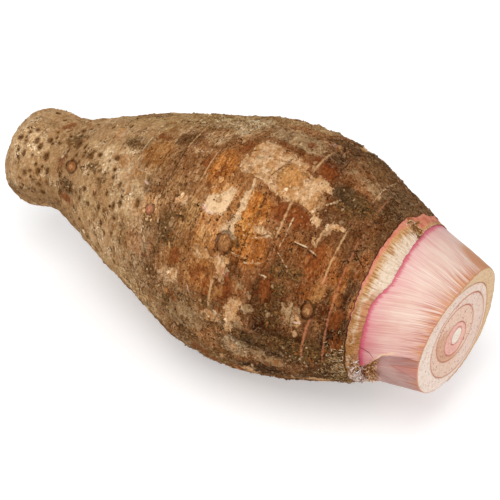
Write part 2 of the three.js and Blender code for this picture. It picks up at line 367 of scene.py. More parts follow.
# Dusty places, duller than those.
DUSTY_OUTLINES = [
    [(139, -17), (146, -18), (152, -16), (158, -18), (163, -15), (165, -10), (163, -6), (155, -6),
     (147, -7), (140, -8)],
    [(180, -14), (186, -12.5), (192, -15), (196, -14), (195.5, -9), (194, -4), (191, -10), (181, -10.5)],
    [(163.4, 70), (166, 70), (167, 72), (165, 75), (163.6, 74)],
    [(160, 79), (164, 80), (163, 83), (159.6, 83)], [(158, 61.5), (163, 62), (163, 65), (158, 64.5)],
    [(125, 85), (140, 82), (143, 94), (132, 98), (124, 93)], [(168, 96), (180, 98), (184, 106), (170, 106)],
    [(104, 60), (109, 66), (106, 72), (102, 66)],
    [(180, 66), (184, 64), (187, 67), (188, 75), (184, 76), (181, 71)],
]
# Islands of bark left inside them.
BARK_ISLANDS = [
    [(156.5, 5), (162, 4), (166, 7), (167, 13), (163, 16), (157, 15)],
    [(73, 20), (79, 19.5), (80.5, 22), (74, 23)], [(156.5, -15), (161, -14.5), (162, -10), (158, -8)],
]
# Smooth plates of bark that reach into the papery cone, and papery ground that reaches into the belly.
PLATES = [
    [(84.5, 8), (90, 3), (97, 1), (105, -2), (112, 2), (124, 3), (125, 28), (118, 33), (108, 38), (97, 34),
     (94, 29), (86, 28)],
    [(88, 66), (95, 62), (104, 62), (108, 72), (101, 78), (91, 74)],
]
PAPER = [
    [(83, 30), (94, 31.5), (99, 36), (97, 44), (101, 50), (102, 60), (112, 66), (112, 78), (96, 80),
     (84, 60)],
    [(126, -12), (136, -12), (140, -7), (134, 3), (126, 3)], [(138, -18), (164, -18), (165, -6), (140, -6)],
    [(150, 84), (170, 80), (186, 84), (186, 100), (150, 100)],
    [(180, -15), (196, -15), (196, -9), (180, -9)],
]
# Dark cracks, and some painted shadow lines under raised pale lips, then pale threads and lips beside them:
# half width and (station, angle) corners.
CRACK_AND_SHADOW_PATHS = [
    (0.25, [(154.2, 40.8), (157.6, 40.5), (162.4, 39), (166.8, 36.5)]),
    (0.25, [(152.4, 51.8), (155.6, 52), (159, 51.8)]), (0.2, [(159, 51.3), (162.4, 50.5), (165.8, 49.2)]),
    (0.35, [(176.8, 41), (176, 37.2), (177, 36.8), (181.8, 37), (187, 38.6)]),
    (0.25, [(200, 27), (204, 31), (207, 34)]), (0.2, [(199, 29), (203, 25)]),
    (0.2, [(95, 38.5), (100, 39.5), (107, 40.5), (111, 40)]), (0.25, [(89.3, 59), (89.3, 68), (89, 78)]),
    (0.3, [(105.6, 50.5), (106.5, 54)]), (0.25, [(157, 1), (155, 8), (153, 14)]),
    (0.2, [(118, 6), (120, 14), (119, 22)]),
]
PALE_PATHS = [
    (0.25, [(154.5, 42), (158, 41.8), (162.6, 40.1), (166.8, 37.5)]),
    (0.22, [(152, 50.6), (156, 50.8), (159, 50.6)]), (0.25, [(159, 52.6), (162.4, 51.7), (166, 50.4)]),
    (0.25, [(176.6, 36), (181.8, 36.1), (187, 37.8)]),
    (0.2, [(171.8, 27), (171.8, 31.5), (172, 35.8), (171, 41)]),
    (0.2, [(195.6, -30), (195.8, -15), (196, -3)]), (0.3, [(84, 8), (84.3, 19)]),
    (0.3, [(87, 30.5), (92, 30.6), (96, 31.5)]), (0.25, [(181, 14.5), (183.5, 11), (185, 8)]),
    (0.25, [(135, 44), (134.4, 48)]), (0.25, [(110, 11), (114, 13.3), (119, 12)]),
    (0.2, [(167, 55), (170, 55.3), (169.6, 57)]), (0.16, [(171.2, 43), (174.6, 45.8), (177.6, 48.2)]),
]
PINK_PATHS = [
    (0.45, [(192.8, 69), (191.8, 75), (191.4, 82), (191, 88), (190.8, 95)]),
    (0.2, [(200, -14), (200.3, 0)]), (0.25, [(200, 21), (200.4, 33)]),
    (0.3, [(200.2, 36), (200, 60), (199.8, 97)]), (0.3, [(171.5, -26), (172.3, -22), (171, -18)]),
]
WHITE_PATHS = [
    (0.45, [(131, 36.4), (133.5, 38.4), (137, 38.6)]), (0.5, [(165.6, -22), (165.6, -20), (167.6, -18.6)]),
    (0.25, [(143.6, 46.4), (143.3, 48.6)]), (0.5, [(186.6, 73.4), (188.6, 73)]),
    (0.4, [(124, -8), (126, -7)]), (0.35, [(134.2, 73.4), (135.6, 75.6)]), (0.4, [(79.4, 9.6), (80.2, 11)]),
    (0.45, [(94.6, 35.6), (96.6, 36.6)]),
]
# Places where the thin bark is smooth and a lighter orange.
SOFT_OUTLINES = [
    [(155.5, 4), (163, 3.5), (166.5, 6), (167.5, 10), (167, 15), (162, 17), (156.5, 15.5), (157.5, 10)],
    [(193.2, 42), (194, 42), (195.2, 51), (195.2, 57), (193.6, 61), (190.4, 61), (191, 56), (192.6, 50)],
    [(147.8, 68), (152, 66), (152, 70), (148.5, 73)], [(196, 70), (198, 71), (198, 76), (196.4, 76)],
]
# Reddish places, where the bark is thin, as ovals.
RUST_BLOTS = [
    (173.5, -1.5, 3.4, 5), (165.5, -4, 1.6, 3), (149, -4.6, 4.5, 1.3), (160.5, -3.4, 3.6, 1.4),
    (135, 4, 3, 4.5), (174, 26, 6, 4), (165, 27, 4, 4), (153, 67, 3, 6), (171, 62, 3, 5), (92, 6, 4, 2),
    (138, 66, 4, 5), (122, 16, 2, 4), (131, 21, 3, 3), (205, 83, 3, 5), (203, 66, 2, 7), (124, 63, 3, 4),
    (126, 84, 4, 4), (29.5, -4, 1.4, 7), (39, 45, 2.2, 8), (47, 75, 3.6, 5), (158.5, -12, 2.4, 3),
    (187, 40, 3, 8), (144, 70, 3, 5),
]
# Places caked with soil, as ovals.
SOIL_BLOTS = [
    (191, 2, 5, 3.6), (189, 11, 5, 3.4), (196, 5, 3.5, 5), (104, 5, 4, 3.5), (77, 15, 5, 4),
    (114, 50, 3.5, 5), (117, 56, 5, 5), (113, 64, 3.2, 3.5), (111, 78, 4, 3.5), (124, 87, 4, 5),
    (143, 78, 3, 2.6), (161, 87.5, 7, 2), (176, 72, 4, 7), (165, -28, 3, 5), (172, -22, 2, 6),
    (104.5, 54, 2.6, 3), (47, 65, 5, 5), (41, 18, 4.5, 8), (57, 31, 3.4, 3), (182, 88, 9, 5),
    (192, 92, 9, 8), (44, 24, 2, 4), (203, 98, 5, 10), (62, 38, 3, 3.4), (85, 46, 1.3, 3),
    (119, 44, 2.4, 3), (69, 46, 1.6, 4), (134, 100, 8, 5), (153, 107, 6, 4), (181, 50, 4, 4),
    (174, 50, 4, 4), (178, 59, 3, 3), (154, 97, 2, 4),
]

# Soft washes over the ground colour: colour, oval and strength. The dark ones on the low side, at angles of
# about 65 to 120, are partly the skin's own dark brown and soil, partly painted shade under the root.
TONE_AND_SHADE_WASHES = [
    ("b8935f", 88, -29, 56, 27, 0.9), ("bf9b6d", 126, -13, 12, 13, 0.9), ("b48c5a", 149, -36, 12, 12, 0.8),
    ("a88258", 152, -12, 15, 8, 0.8), ("54331a", 171, -27, 9, 12, 0.9), ("50301a", 172, -14, 5, 8, 0.8),
    ("61401f", 182, -40, 12, 14, 0.9), ("6c431f", 188, -27, 13, 12, 0.85), ("6c4020", 183, -17, 5, 6, 0.7),
    ("855028", 186, -14, 9, 8, 0.8), ("9a6238", 188, -7, 10, 5, 0.75), ("5b3d22", 203, -15, 7, 22, 0.85),
    ("6e3212", 173.5, -3, 4.5, 7, 0.9), ("6b3a1a", 153, -4.5, 14, 2.5, 0.6),
    ("4c3a24", 189, 5, 11, 7.5, 0.85), ("70482a", 187, 19, 8, 6, 0.8), ("704222", 201, 14, 6, 14, 0.85),
    ("9c6036", 206, 33, 3.2, 14, 0.85), ("96643a", 116, 20, 10, 17, 0.85), ("a56d3a", 93, 18, 9, 12, 0.95),
    ("70482a", 104, 6, 8, 6, 0.8), ("ba7132", 131, 17, 8, 10, 0.95), ("c4834a", 137, 34, 8, 14, 1.0),
    ("c5864f", 141, 45, 11, 7, 1.0), ("bb7232", 154, 30, 9, 9, 0.95), ("c07d3c", 153, 43, 9, 8, 0.95),
    ("b06a30", 161, 47, 8, 9, 0.85), ("7d421c", 172, 26, 9, 5, 0.85), ("8a5228", 175, 38, 10, 8, 0.8),
    ("a26030", 191, 42, 9, 13, 0.85), ("84481e", 188, 56, 5, 5, 0.8), ("a86430", 201, 52, 2.6, 22, 0.8),
    ("4a2c16", 205.5, 60, 4, 22, 0.9), ("bc7a4a", 208.4, 57, 2, 9, 0.8), ("260e02", 202, 81, 6, 11, 0.95),
    ("5c2f12", 199, 66, 5, 9, 0.85), ("4c270c", 172, 67, 10, 12, 0.95), ("6b4424", 166, 75, 5, 6, 0.7),
    ("421f08", 175, 80, 9, 8, 0.95), ("7a4a26", 176, 50, 8, 8, 0.75), ("5c2a10", 152, 68, 5, 7, 0.9),
    ("6c4020", 154, 58, 6, 4, 0.8), ("b4763e", 139, 65, 8, 8, 0.9), ("6b4324", 150, 78, 8, 5, 0.7),
    ("8a6a44", 128, 88, 18, 13, 0.75), ("241002", 165, 90, 9, 6, 0.95), ("5a3a1a", 157, 85, 6, 4, 0.8),
    ("6e4a28", 146, 86, 6, 6, 0.6), ("b08c62", 160, 97, 8, 8, 0.75), ("44280f", 176, 94, 9, 6, 0.9),
    ("4c3016", 198, 116, 14, 12, 0.85), ("40260c", 190, 90, 15, 12, 0.95),
    ("98764a", 143, 113, 14, 10, 0.8), ("2a1604", 170, 114, 14, 10, 0.85), ("cca26e", 92, 104, 30, 14, 0.9),
    ("8a6238", 70, -25, 12, 9, 0.85), ("825c38", 31, 84, 11, 14, 0.75), ("96704a", 32, 29, 5, 7, 0.6),
    ("e6be8c", 72, 28, 14, 13, 0.85), ("7e5c38", 58, 64, 5, 7, 0.6), ("deb684", 87, 48, 10, 12, 0.85),
    ("cfa576", 78, 84, 15, 13, 0.85), ("c09766", 66, 65, 11, 9, 0.8), ("6b5238", 47, 64, 7, 8, 0.85),
    ("9a5f34", 47, 76, 7, 6, 0.8), ("8d6a42", 78, 13, 9, 6, 0.8), ("8a6038", 46, 34, 5, 9, 0.7),
    ("8c6540", 113, 52, 9, 10, 0.75), ("dca670", 103, 47, 7, 8, 0.85), ("bc8a5a", 110, 38, 4, 6, 0.8),
    ("d0a070", 101, 63, 9, 9, 0.85), ("a8784a", 113, 32, 6, 6, 0.8), ("9a683a", 124, 60, 7, 9, 0.75),
    ("cc9054", 136, 50, 5, 6, 0.85), ("be9264", 119, 1, 9, 6, 0.85), ("b88e62", 99, -1, 7, 4, 0.8),
    ("54381c", 172, -43, 8, 6, 0.7), ("9c6a3c", 122, 86, 10, 8, 0.6), ("b98f62", 101, 84, 13, 13, 0.8),
    ("b48450", 126, 42, 5, 8, 0.8), ("c2894e", 161, 10, 7, 7, 0.95), ("b98a58", 176, 14, 5, 6, 0.6),
    ("eac08c", 14, 34, 13, 20, 0.85), ("8c6a44", 20, 0, 8, 7, 0.6), ("bd966a", 48, 6, 10, 12, 0.8),
    ("d2a674", 51, 22, 6, 8, 0.85), ("c79f72", 47, -15, 12, 12, 0.85), ("94683e", 42, 92, 8, 12, 0.6),
    ("7c5a36", 24, 104, 20, 18, 0.75), ("a87f52", 36, 24, 8, 14, 0.6), ("b8683c", 46.5, 45, 4, 6, 0.9),
    ("a8714a", 103, 68, 10, 8, 0.5),
]

# Side buds, as ovals.
BUDS = [
    (191, 65, 2.5, 4.2), (103.4, 48, 2.2, 2.6), (46.5, 45, 3.2, 5.0), (168.4, -20.5, 2.4, 3.4),
    (147.4, 47.8, 3.5, 4.0),
]

# Pits where rootlets broke off: station and angle.
PITS = [
    (15, 24), (18, 18), (21, 31), (27, 25), (33, 25), (37, 14), (45, 22), (57, 31), (13, 48), (17, 49),
    (29, 45), (15, 58), (27, 64), (17, 80), (28, 82), (30, 93), (62, 29), (73, 28), (75, 36), (68, 46),
    (76, 41), (82, 44), (76, 52), (86, 53), (68, 56), (82, 57), (73, 63), (84, 64), (76, 73), (84, 75),
    (72, 86), (84, 87), (74, 93), (85, 97), (11, 34), (16, 36), (24, 36), (38, 22), (22, 48), (25, 57),
    (32, 61), (20, 70), (33, 75), (65, 66), (92, 27), (96, 49), (52, 33), (50, 24), (61, 57), (59, 66),
]

# Gentle swellings and hollows: oval and rise.
SWELLS = [
    (9, -5, 12, 45, 0.9), (22, -30, 12, 40, -0.8), (121, -30, 16, 28, -0.9), (172, -42, 22, 28, 1.0),
    (120, 118, 14, 24, 1.2), (175, 128, 32, 28, -1.4), (88, 122, 60, 26, -0.6), (112, -28, 12, 30, -0.6),
]

# ---- What shows on the skin ----

def union(fields):
    return np.max(fields, axis=0)


def outlines(group):
    return [skin.outline(corners) for corners in group]


def ring_coordinate():
    """Each place's ring number, whole on a ring, and running evenly between them."""
    sway = RING_SWAY * (np.cos((skin.angle + 10) * DEG) - math.cos(40 * DEG))
    sway = sway * band(skin.station, 40, 75, 198, 212)
    wander = 0.5 * noise(places, (30, 18), 21)
    return np.interp(skin.s - sway + wander, RINGS, np.arange(len(RINGS)), left=-0.9, right=len(RINGS) - 0.4)


ring_number = ring_coordinate()
nearest_ring = np.array(RINGS)[np.clip(np.rint(ring_number).astype(int), 0, len(RINGS) - 1)]
ring_distance = (ring_number - np.rint(ring_number)) * RING_GAP
NO_LINE = 0.8


def line_widths(lines, hidden_share, hidden_width, seed):
    """Half width of the line on the nearest ring, or below 0. The far side has its own lines."""
    width = np.full(skin.station.shape, -NO_LINE)

    def widened(station, half_width, fade):
        on_ring = np.abs(nearest_ring - station) < 0.1
        return np.maximum(width, (half_width + NO_LINE) * fade * on_ring - NO_LINE)

    for station, start, end, half_width in lines:
        width = widened(station, half_width, band(skin.a, start - 3, start + 2, end - 2, end + 3))
    rng = np.random.default_rng(seed)
    for station in RINGS:
        for start in np.arange(112, 320, 26) + rng.uniform(-9, 9, 8):
            if rng.uniform() <= hidden_share:
                fade = band((skin.angle - start) % 360, 0, 6, rng.uniform(12, 30), 36)
                width = widened(station, hidden_width, fade)
    return width


HIDDEN_ANGLES = (112, 318)  # that the first view doesn't show


def hidden_blots(count, seed, lengths, widths, stations=(50, 205)):
    """Seeded ovals on the sides that the first view doesn't show."""
    rng = np.random.default_rng(seed)
    ranges = (stations, HIDDEN_ANGLES, lengths, widths)
    return [skin.blot(*(rng.uniform(*limits) for limits in ranges)) for _ in range(count)]


ragged = 0.9 * noise(places, (3, 3.6), 31) + 0.6 * noise(places, (1.7, 2), 32)
EDGE_REACH = 8.0  # how far from a patch's edge its distance is kept


def kept_near(field, reach=EDGE_REACH):
    return np.clip(field, -reach, reach)


def patch(fields, raggedness):
    return kept_near(union(fields) + raggedness * ragged)


def paths(group):
    return kept_near(union([skin.path(*path) for path in group]), 3)


def papery_field():
    """Where the skin is papery and fibrous, and not smooth bark: millimetres inside its edge."""
    cone = 86 - skin.station
    back = np.where(skin.angle < -5, (-5 - skin.angle) * skin.width, -2)
    under = (skin.angle - 76) * skin.width * (skin.angle < 140) * (skin.station < 150)
    under = under - 3 * (skin.station >= 150)
    field = np.minimum(union([cone, back, under] + outlines(PAPER)), -union(outlines(PLATES)))
    hidden = smoothstep(np.abs(turned(skin.angle - 215)), 105, 95)
    patchy = 9 * noise(places, 15, 33) + 0.09 * (125 - skin.station)
    return kept_near(field * (1 - hidden) + patchy * hidden)


island = patch(outlines(BARK_ISLANDS), 0.6)
cream = union([
    patch(outlines(CREAM_OUTLINES) + hidden_blots(34, 41, (2, 9), (3, 10)), 0.8),
    kept_near(2.5 * skin.outline(SPINDLE)),
    kept_near(2.0 * skin.outline(BRIGHT_PATCH)),
])
cream = np.minimum(cream, -island)
dusty = np.minimum(patch(outlines(DUSTY_OUTLINES), 1.2), -island)
rust = patch([skin.blot(*blot) for blot in RUST_BLOTS] + hidden_blots(40, 42, (2, 8), (3, 9), (90, 205)), 1.0)
soil = patch([skin.blot(*blot) for blot in SOIL_BLOTS] + hidden_blots(46, 43, (2, 9), (3, 9)), 1.6)
papery = papery_field()
dark_path, pale_path = paths(CRACK_AND_SHADOW_PATHS), paths(PALE_PATHS)
pink_path, white_path = paths(PINK_PATHS), paths(WHITE_PATHS)
soft = patch(outlines(SOFT_OUTLINES), 1.0)

pits = list(PITS)
pit_rng = np.random.default_rng(44)
# More of them: how many, and the stations and angles that they lie between.
for count, stations, angles in (
    (150, (5, 88), (104, 330)), (46, (8, 88), (-28, 100)), (40, (90, 160), (-180, 180)),
):
    pits += list(zip(pit_rng.uniform(*stations, count), pit_rng.uniform(*angles, count)))


def pit_field():
    """0 to 1, how deep in a pit each place is, and how much it is on a pit's rim."""
    deep, rim = np.zeros(skin.station.shape), np.zeros(skin.station.shape)
    for i, (station, angle) in enumerate(pits):
        size = 1.35 if i < len(PITS) else 0.9
        half_length, half_width = size * pit_rng.uniform(0.7, 1.3), size * pit_rng.uniform(0.9, 1.9)
        around = turned(skin.angle - angle) * skin.width
        reach = np.hypot((skin.station - station) / half_length, around / half_width)
        deep = np.maximum(deep, pit_rng.uniform(0.6, 1) * bell(reach, 1))
        rim = np.maximum(rim, bell(reach - 1.7, 0.55))
    return deep, rim


pit, pit_rim = pit_field()


def bud_field():
    """Rise of the buds in millimetres, and how far out from the nearest bud's middle each place is."""
    rise, nearest = np.zeros(skin.station.shape), np.full(skin.station.shape, 3.0)
    for bud in BUDS:
        reach = reach_in(bud, skin.s, skin.a)
        dome = 0.9 * np.sqrt(np.maximum(0, 1 - reach ** 2)) - 0.35 * bell(reach - 1.1, 0.25)
        rise = np.where(reach < 2, dome, rise)
        nearest = np.minimum(nearest, reach)
    return rise, nearest


bud_rise, from_bud = bud_field()


def ground_colour():
    """The skin's colour without its patches: a run of colours along the root, then the washes, whose dark
    ones on the low side are partly painted shade.
    """
    stops = [(0, "c9a276"), (30, "bb9060"), (45, "a67c50"), (62, "bb9061"), (92, "b08456"), (108, "946640"),
             (125, "9c683c"), (150, "a0683a"), (168, "8a5530"), (186, "7c4c2a"), (212, "674325")]
    shift = skin.station + 6 * noise(places, 16, 51)
    colour = np.stack([along([(at, linear(name)[k]) for at, name in stops], shift) for k in range(3)], -1)
    rng = np.random.default_rng(52)
    palette = [DUST, "9b6a3e", ORANGE, "7d451f", "62472c", "8b6a46", "a3794c", "8a512b"]
    ranges = ((40, 205), HIDDEN_ANGLES, (8, 26), (10, 30))
    hidden = [(palette[rng.integers(len(palette))], *(rng.uniform(*limits) for limits in ranges), 0.7)
              for _ in range(46)]
    wander = 0.16 * noise(places, 7, 53) + 0.1 * noise(places, 2.6, 54)
    # Washes: tone, and on the low side partly painted shade under the root.
    for name, *oval, strength in hidden + TONE_AND_SHADE_WASHES:
        reach = reach_in(oval, skin.s, skin.a) + wander
        cover = strength * (1 - smoothstep(reach, 0.55, 1.15))[..., None]
        colour = colour * (1 - cover) + np.array(linear(name)) * cover
    # Each band between two rings has its own tone.
    shifted = np.stack([100.0 * np.floor(ring_number), places[..., 1], places[..., 2]], -1)
    tone = 1 + 0.34 * noise(shifted, (10, 20), 55) * smoothstep(skin.station, 90, 115)
    return colour * tone[..., None] ** np.array(TINT_POWERS)


ground = ground_colour()


def flakes(size, seed, steps, rise):
    """A stack of low ledges, like layers of bark worn back unevenly."""
    level = noise(places, size, seed)
    return sum(rise * smoothstep(level, at, at + 0.07) for at in steps)


def skin_relief():
    """How far the skin stands off its smooth form, in millimetres."""
    belly = smoothstep(skin.station, 60, 110)
    neck = 1 - smoothstep(skin.station, 55, 90)
    felt = smoothstep(papery, -2, 2)
    calm = 1 - 0.6 * (1 - smoothstep(skin.station, 84, 104))
    relief = sum(
        rise * np.exp(-1.2 * reach_in(oval, skin.station, skin.angle) ** 2) for *oval, rise in SWELLS)
    relief += -0.4 + 0.4 * noise(places, 27, 61) + 0.4 * neck * noise(places, 9, 62)
    relief += 0.22 * noise(places, (5.5, 15), 63) + 0.15 * noise(places, (2.6, 5.5), 64)
    relief += calm * (0.05 + 0.13 * felt) * noise(places, (1.6, 2.2), 65)
    relief += calm * (0.04 + 0.12 * felt) * noise(places, 1.1, 68)
    relief += flakes((4.5, 8), 75, (-0.35, -0.05, 0.25, 0.5), 0.13) * (0.5 + 0.5 * felt)
    relief += flakes((2.6, 3.6), 76, (0.1, 0.4), 0.14) * felt
    ledge = bell(ring_distance, 0.6) - 0.9 * bell(ring_distance - 1.0, 0.5)
    relief += 0.4 * ledge * (0.3 + 0.7 * smoothstep(noise(places, (9, 16), 66), -0.5, 0.5)) * belly
    relief -= 0.26 * smoothstep(cream, -0.5, 0.4)
    relief += (0.2 + 0.36 * noise(places, 1.7, 67)) * smoothstep(soil, -0.8, 1.0)
    relief -= 0.12 * smoothstep(rust, -0.6, 0.6)
    relief += -0.8 * pit + 0.16 * pit_rim + bud_rise
    relief += 0.16 * smoothstep(pale_path, -0.4, 0.2) - 0.3 * smoothstep(dark_path, -0.5, 0.2)
    return relief


# ---- Building meshes ----

def new_piece(name, points, faces, material, slot, replaced=(), fields=(), colours=(), uv=None):
    """A mesh piece of the object, from points in millimetres, riding on its one body."""
    mesh = bpy.data.meshes.new(name)
    mesh.from_pydata(np.asarray(points) * MM, [], faces)
    for label, values in dict(fields).items():
        mesh.attributes.new(label, "FLOAT", "POINT").data.foreach_set("value", np.asarray(values, np.float32))
    for label, values in dict(colours).items():
        rgba = np.column_stack([values, np.ones(len(values))]).astype(np.float32)
        mesh.attributes.new(label, "FLOAT_COLOR", "POINT").data.foreach_set("color", rgba.ravel())
    if uv is not None:
        corners = np.zeros(len(mesh.loops), int)
        mesh.loops.foreach_get("vertex_index", corners)
        mesh.uv_layers.new(name="OFBake").data.foreach_set("uv", uv(mesh, corners).astype(np.float32).ravel())
    mesh.validate()
    mesh.shade_smooth()
    mesh.materials.append(material)
    piece = bpy.data.objects.new(name, mesh)
    bpy.context.scene.collection.objects.link(piece)
    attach(piece, "root")
    if replaced:
        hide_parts(*replaced)
    return piece


def tube_faces(rows, columns, joined=True, looped=False):
    """Squares between rows of points. Joined columns and looped rows close on themselves."""
    row, column = np.indices((rows if looped else rows - 1, columns if joined else columns - 1))
    below, beside = (row + 1) % rows * columns, (column + 1) % columns
    row = row * columns
    return np.stack([row + column, row + beside, below + beside, below + column], -1).reshape(-1, 4).tolist()


def fan_faces(middle, start, count, flipped=False):
    """Triangles from a middle point to a ring of points."""
    faces = [[middle, start + k, start + (k + 1) % count] for k in range(count)]
    return [face[::-1] for face in faces] if flipped else faces


def moved_faces(faces, start):
    return [[start + k for k in face] for face in faces]


def repeated_faces(faces, each, count):
    """One thing's faces, repeated for things of that many points each."""
    return [face for k in range(count) for face in moved_faces(faces, k * each)]


# ---- Materials ----

class Value:
    """What a shader node gives. Sums and products of it add nodes."""

    def __init__(self, shader, socket):
        self.shader, self.socket = shader, socket

    def __add__(self, other):
        return self.shader.math("ADD", self, other)

    def __sub__(self, other):
        return self.shader.math("SUBTRACT", self, other)

    def __rsub__(self, other):
        return self.shader.math("SUBTRACT", other, self)

    def __mul__(self, other):
        return self.shader.math("MULTIPLY", self, other)

    def __pow__(self, other):
        return self.shader.math("POWER", self, other)

    def __abs__(self):
        return self.shader.math("ABSOLUTE", self)

    def __round__(self):
        return self.shader.math("ROUND", self)


class Shader:
    """A Principled material and short calls that add nodes to it. Sizes are in millimetres."""

    def __init__(self, name, roughness, place=None, **constants):
        self.material = bpy.data.materials.new(name)
        self.material.use_nodes = True
        self.tree = self.material.node_tree
        self.surface = self.tree.nodes["Principled BSDF"].inputs
        self.surface["Roughness"].default_value = roughness
        for label, value in constants.items():
            self.surface[label.replace("_", " ")].default_value = value
        self.place = self.field(place, "Vector") if place else self.node("TexCoord", output="Object")

    def plug(self, socket, value):
        if isinstance(value, Value):
            self.tree.links.new(value.socket, socket)
        elif isinstance(value, str):
            socket.default_value = (*linear(value), 1.0)[:len(socket.default_value)]
        else:
            socket.default_value = value

    def node(self, kind, inputs=(), output=0, **settings):
        """What a new node gives. Its inputs are a list, or a dictionary by name or number."""
        made = self.tree.nodes.new("ShaderNode" + kind)
        for label, value in settings.items():
            setattr(made, label, value)
        for label, value in inputs.items() if isinstance(inputs, dict) else enumerate(inputs):
            self.plug(made.inputs[label], value)
        return Value(self, made.outputs[output])

    def field(self, name, output="Fac"):
        return self.node("Attribute", output=output, attribute_name=name)

    def math(self, operation, first, second=0.0):
        return self.node("Math", (first, second), operation=operation)

    def step(self, value, low, high, start=0.0, end=1.0):
        return self.node("MapRange", (value, low, high, start, end), interpolation_type="SMOOTHSTEP")

    def mix(self, first, second, share):
        return self.node("Mix", {"Factor": share, 6: first, 7: second}, 2, data_type="RGBA")

    def over(self, colour, *coats):
        """A colour under coats, each a tone and its share."""
        for tone, share in coats:
            colour = self.mix(colour, tone, share)
        return colour

    def dim(self, colour, *factors):
        """A colour times numbers: redder where it darkens, paler where it lightens."""
        for factor in factors:
            tint = self.node("CombineXYZ", [factor ** power for power in TINT_POWERS])
            colour = self.node("VectorMath", (colour, tint), operation="MULTIPLY")
        return colour

    def scaled_place(self, size, shift):
        scale = [1 / (one * MM) for one in sizes(size)]
        return self.node("Mapping", {"Vector": self.place, "Scale": scale, "Location": shift})

    def noise(self, size, seed, detail=3.0, roughness=0.55, distortion=0.0):
        """0 to 1 noise whose features have that size, or one size along and one across the root."""
        place = self.scaled_place(size, (7.3 * seed, 3.1 * seed, 5.7 * seed))
        inputs = {"Scale": 1.0, "Detail": detail, "Roughness": roughness, "Distortion": distortion}
        return self.node("TexNoise", {"Vector": place, **inputs})

    def cells(self, size, seed):
        """Distance from the nearest of scattered points."""
        place = self.scaled_place(size, (4.1 * seed, 8.7 * seed, 2.9 * seed))
        return self.node("TexVoronoi", {"Vector": place, "Scale": 1.0}, "Distance")

    def scraps(self, size, seed):
        """A number, 0 to 1, for each irregular scrap of the surface."""
        place = self.scaled_place(size, (5.3 * seed, 2.7 * seed, 8.1 * seed))
        warp = self.node("TexNoise", {"Vector": place, "Scale": 1.7, "Detail": 3.0}, "Color")
        moved = self.node("VectorMath", (warp, (1.4, 1.4, 1.4), place), operation="MULTIPLY_ADD")
        return self.node("SeparateColor", [self.node("TexVoronoi", {"Vector": moved, "Scale": 1.0}, "Color")])

    def finish(self, colour, height, depth, strength):
        self.plug(self.surface["Base Color"], colour)
        bump = self.node("Bump", {"Distance": depth * MM, "Strength": strength, "Height": height})
        self.plug(self.surface["Normal"], bump)
        return self.material


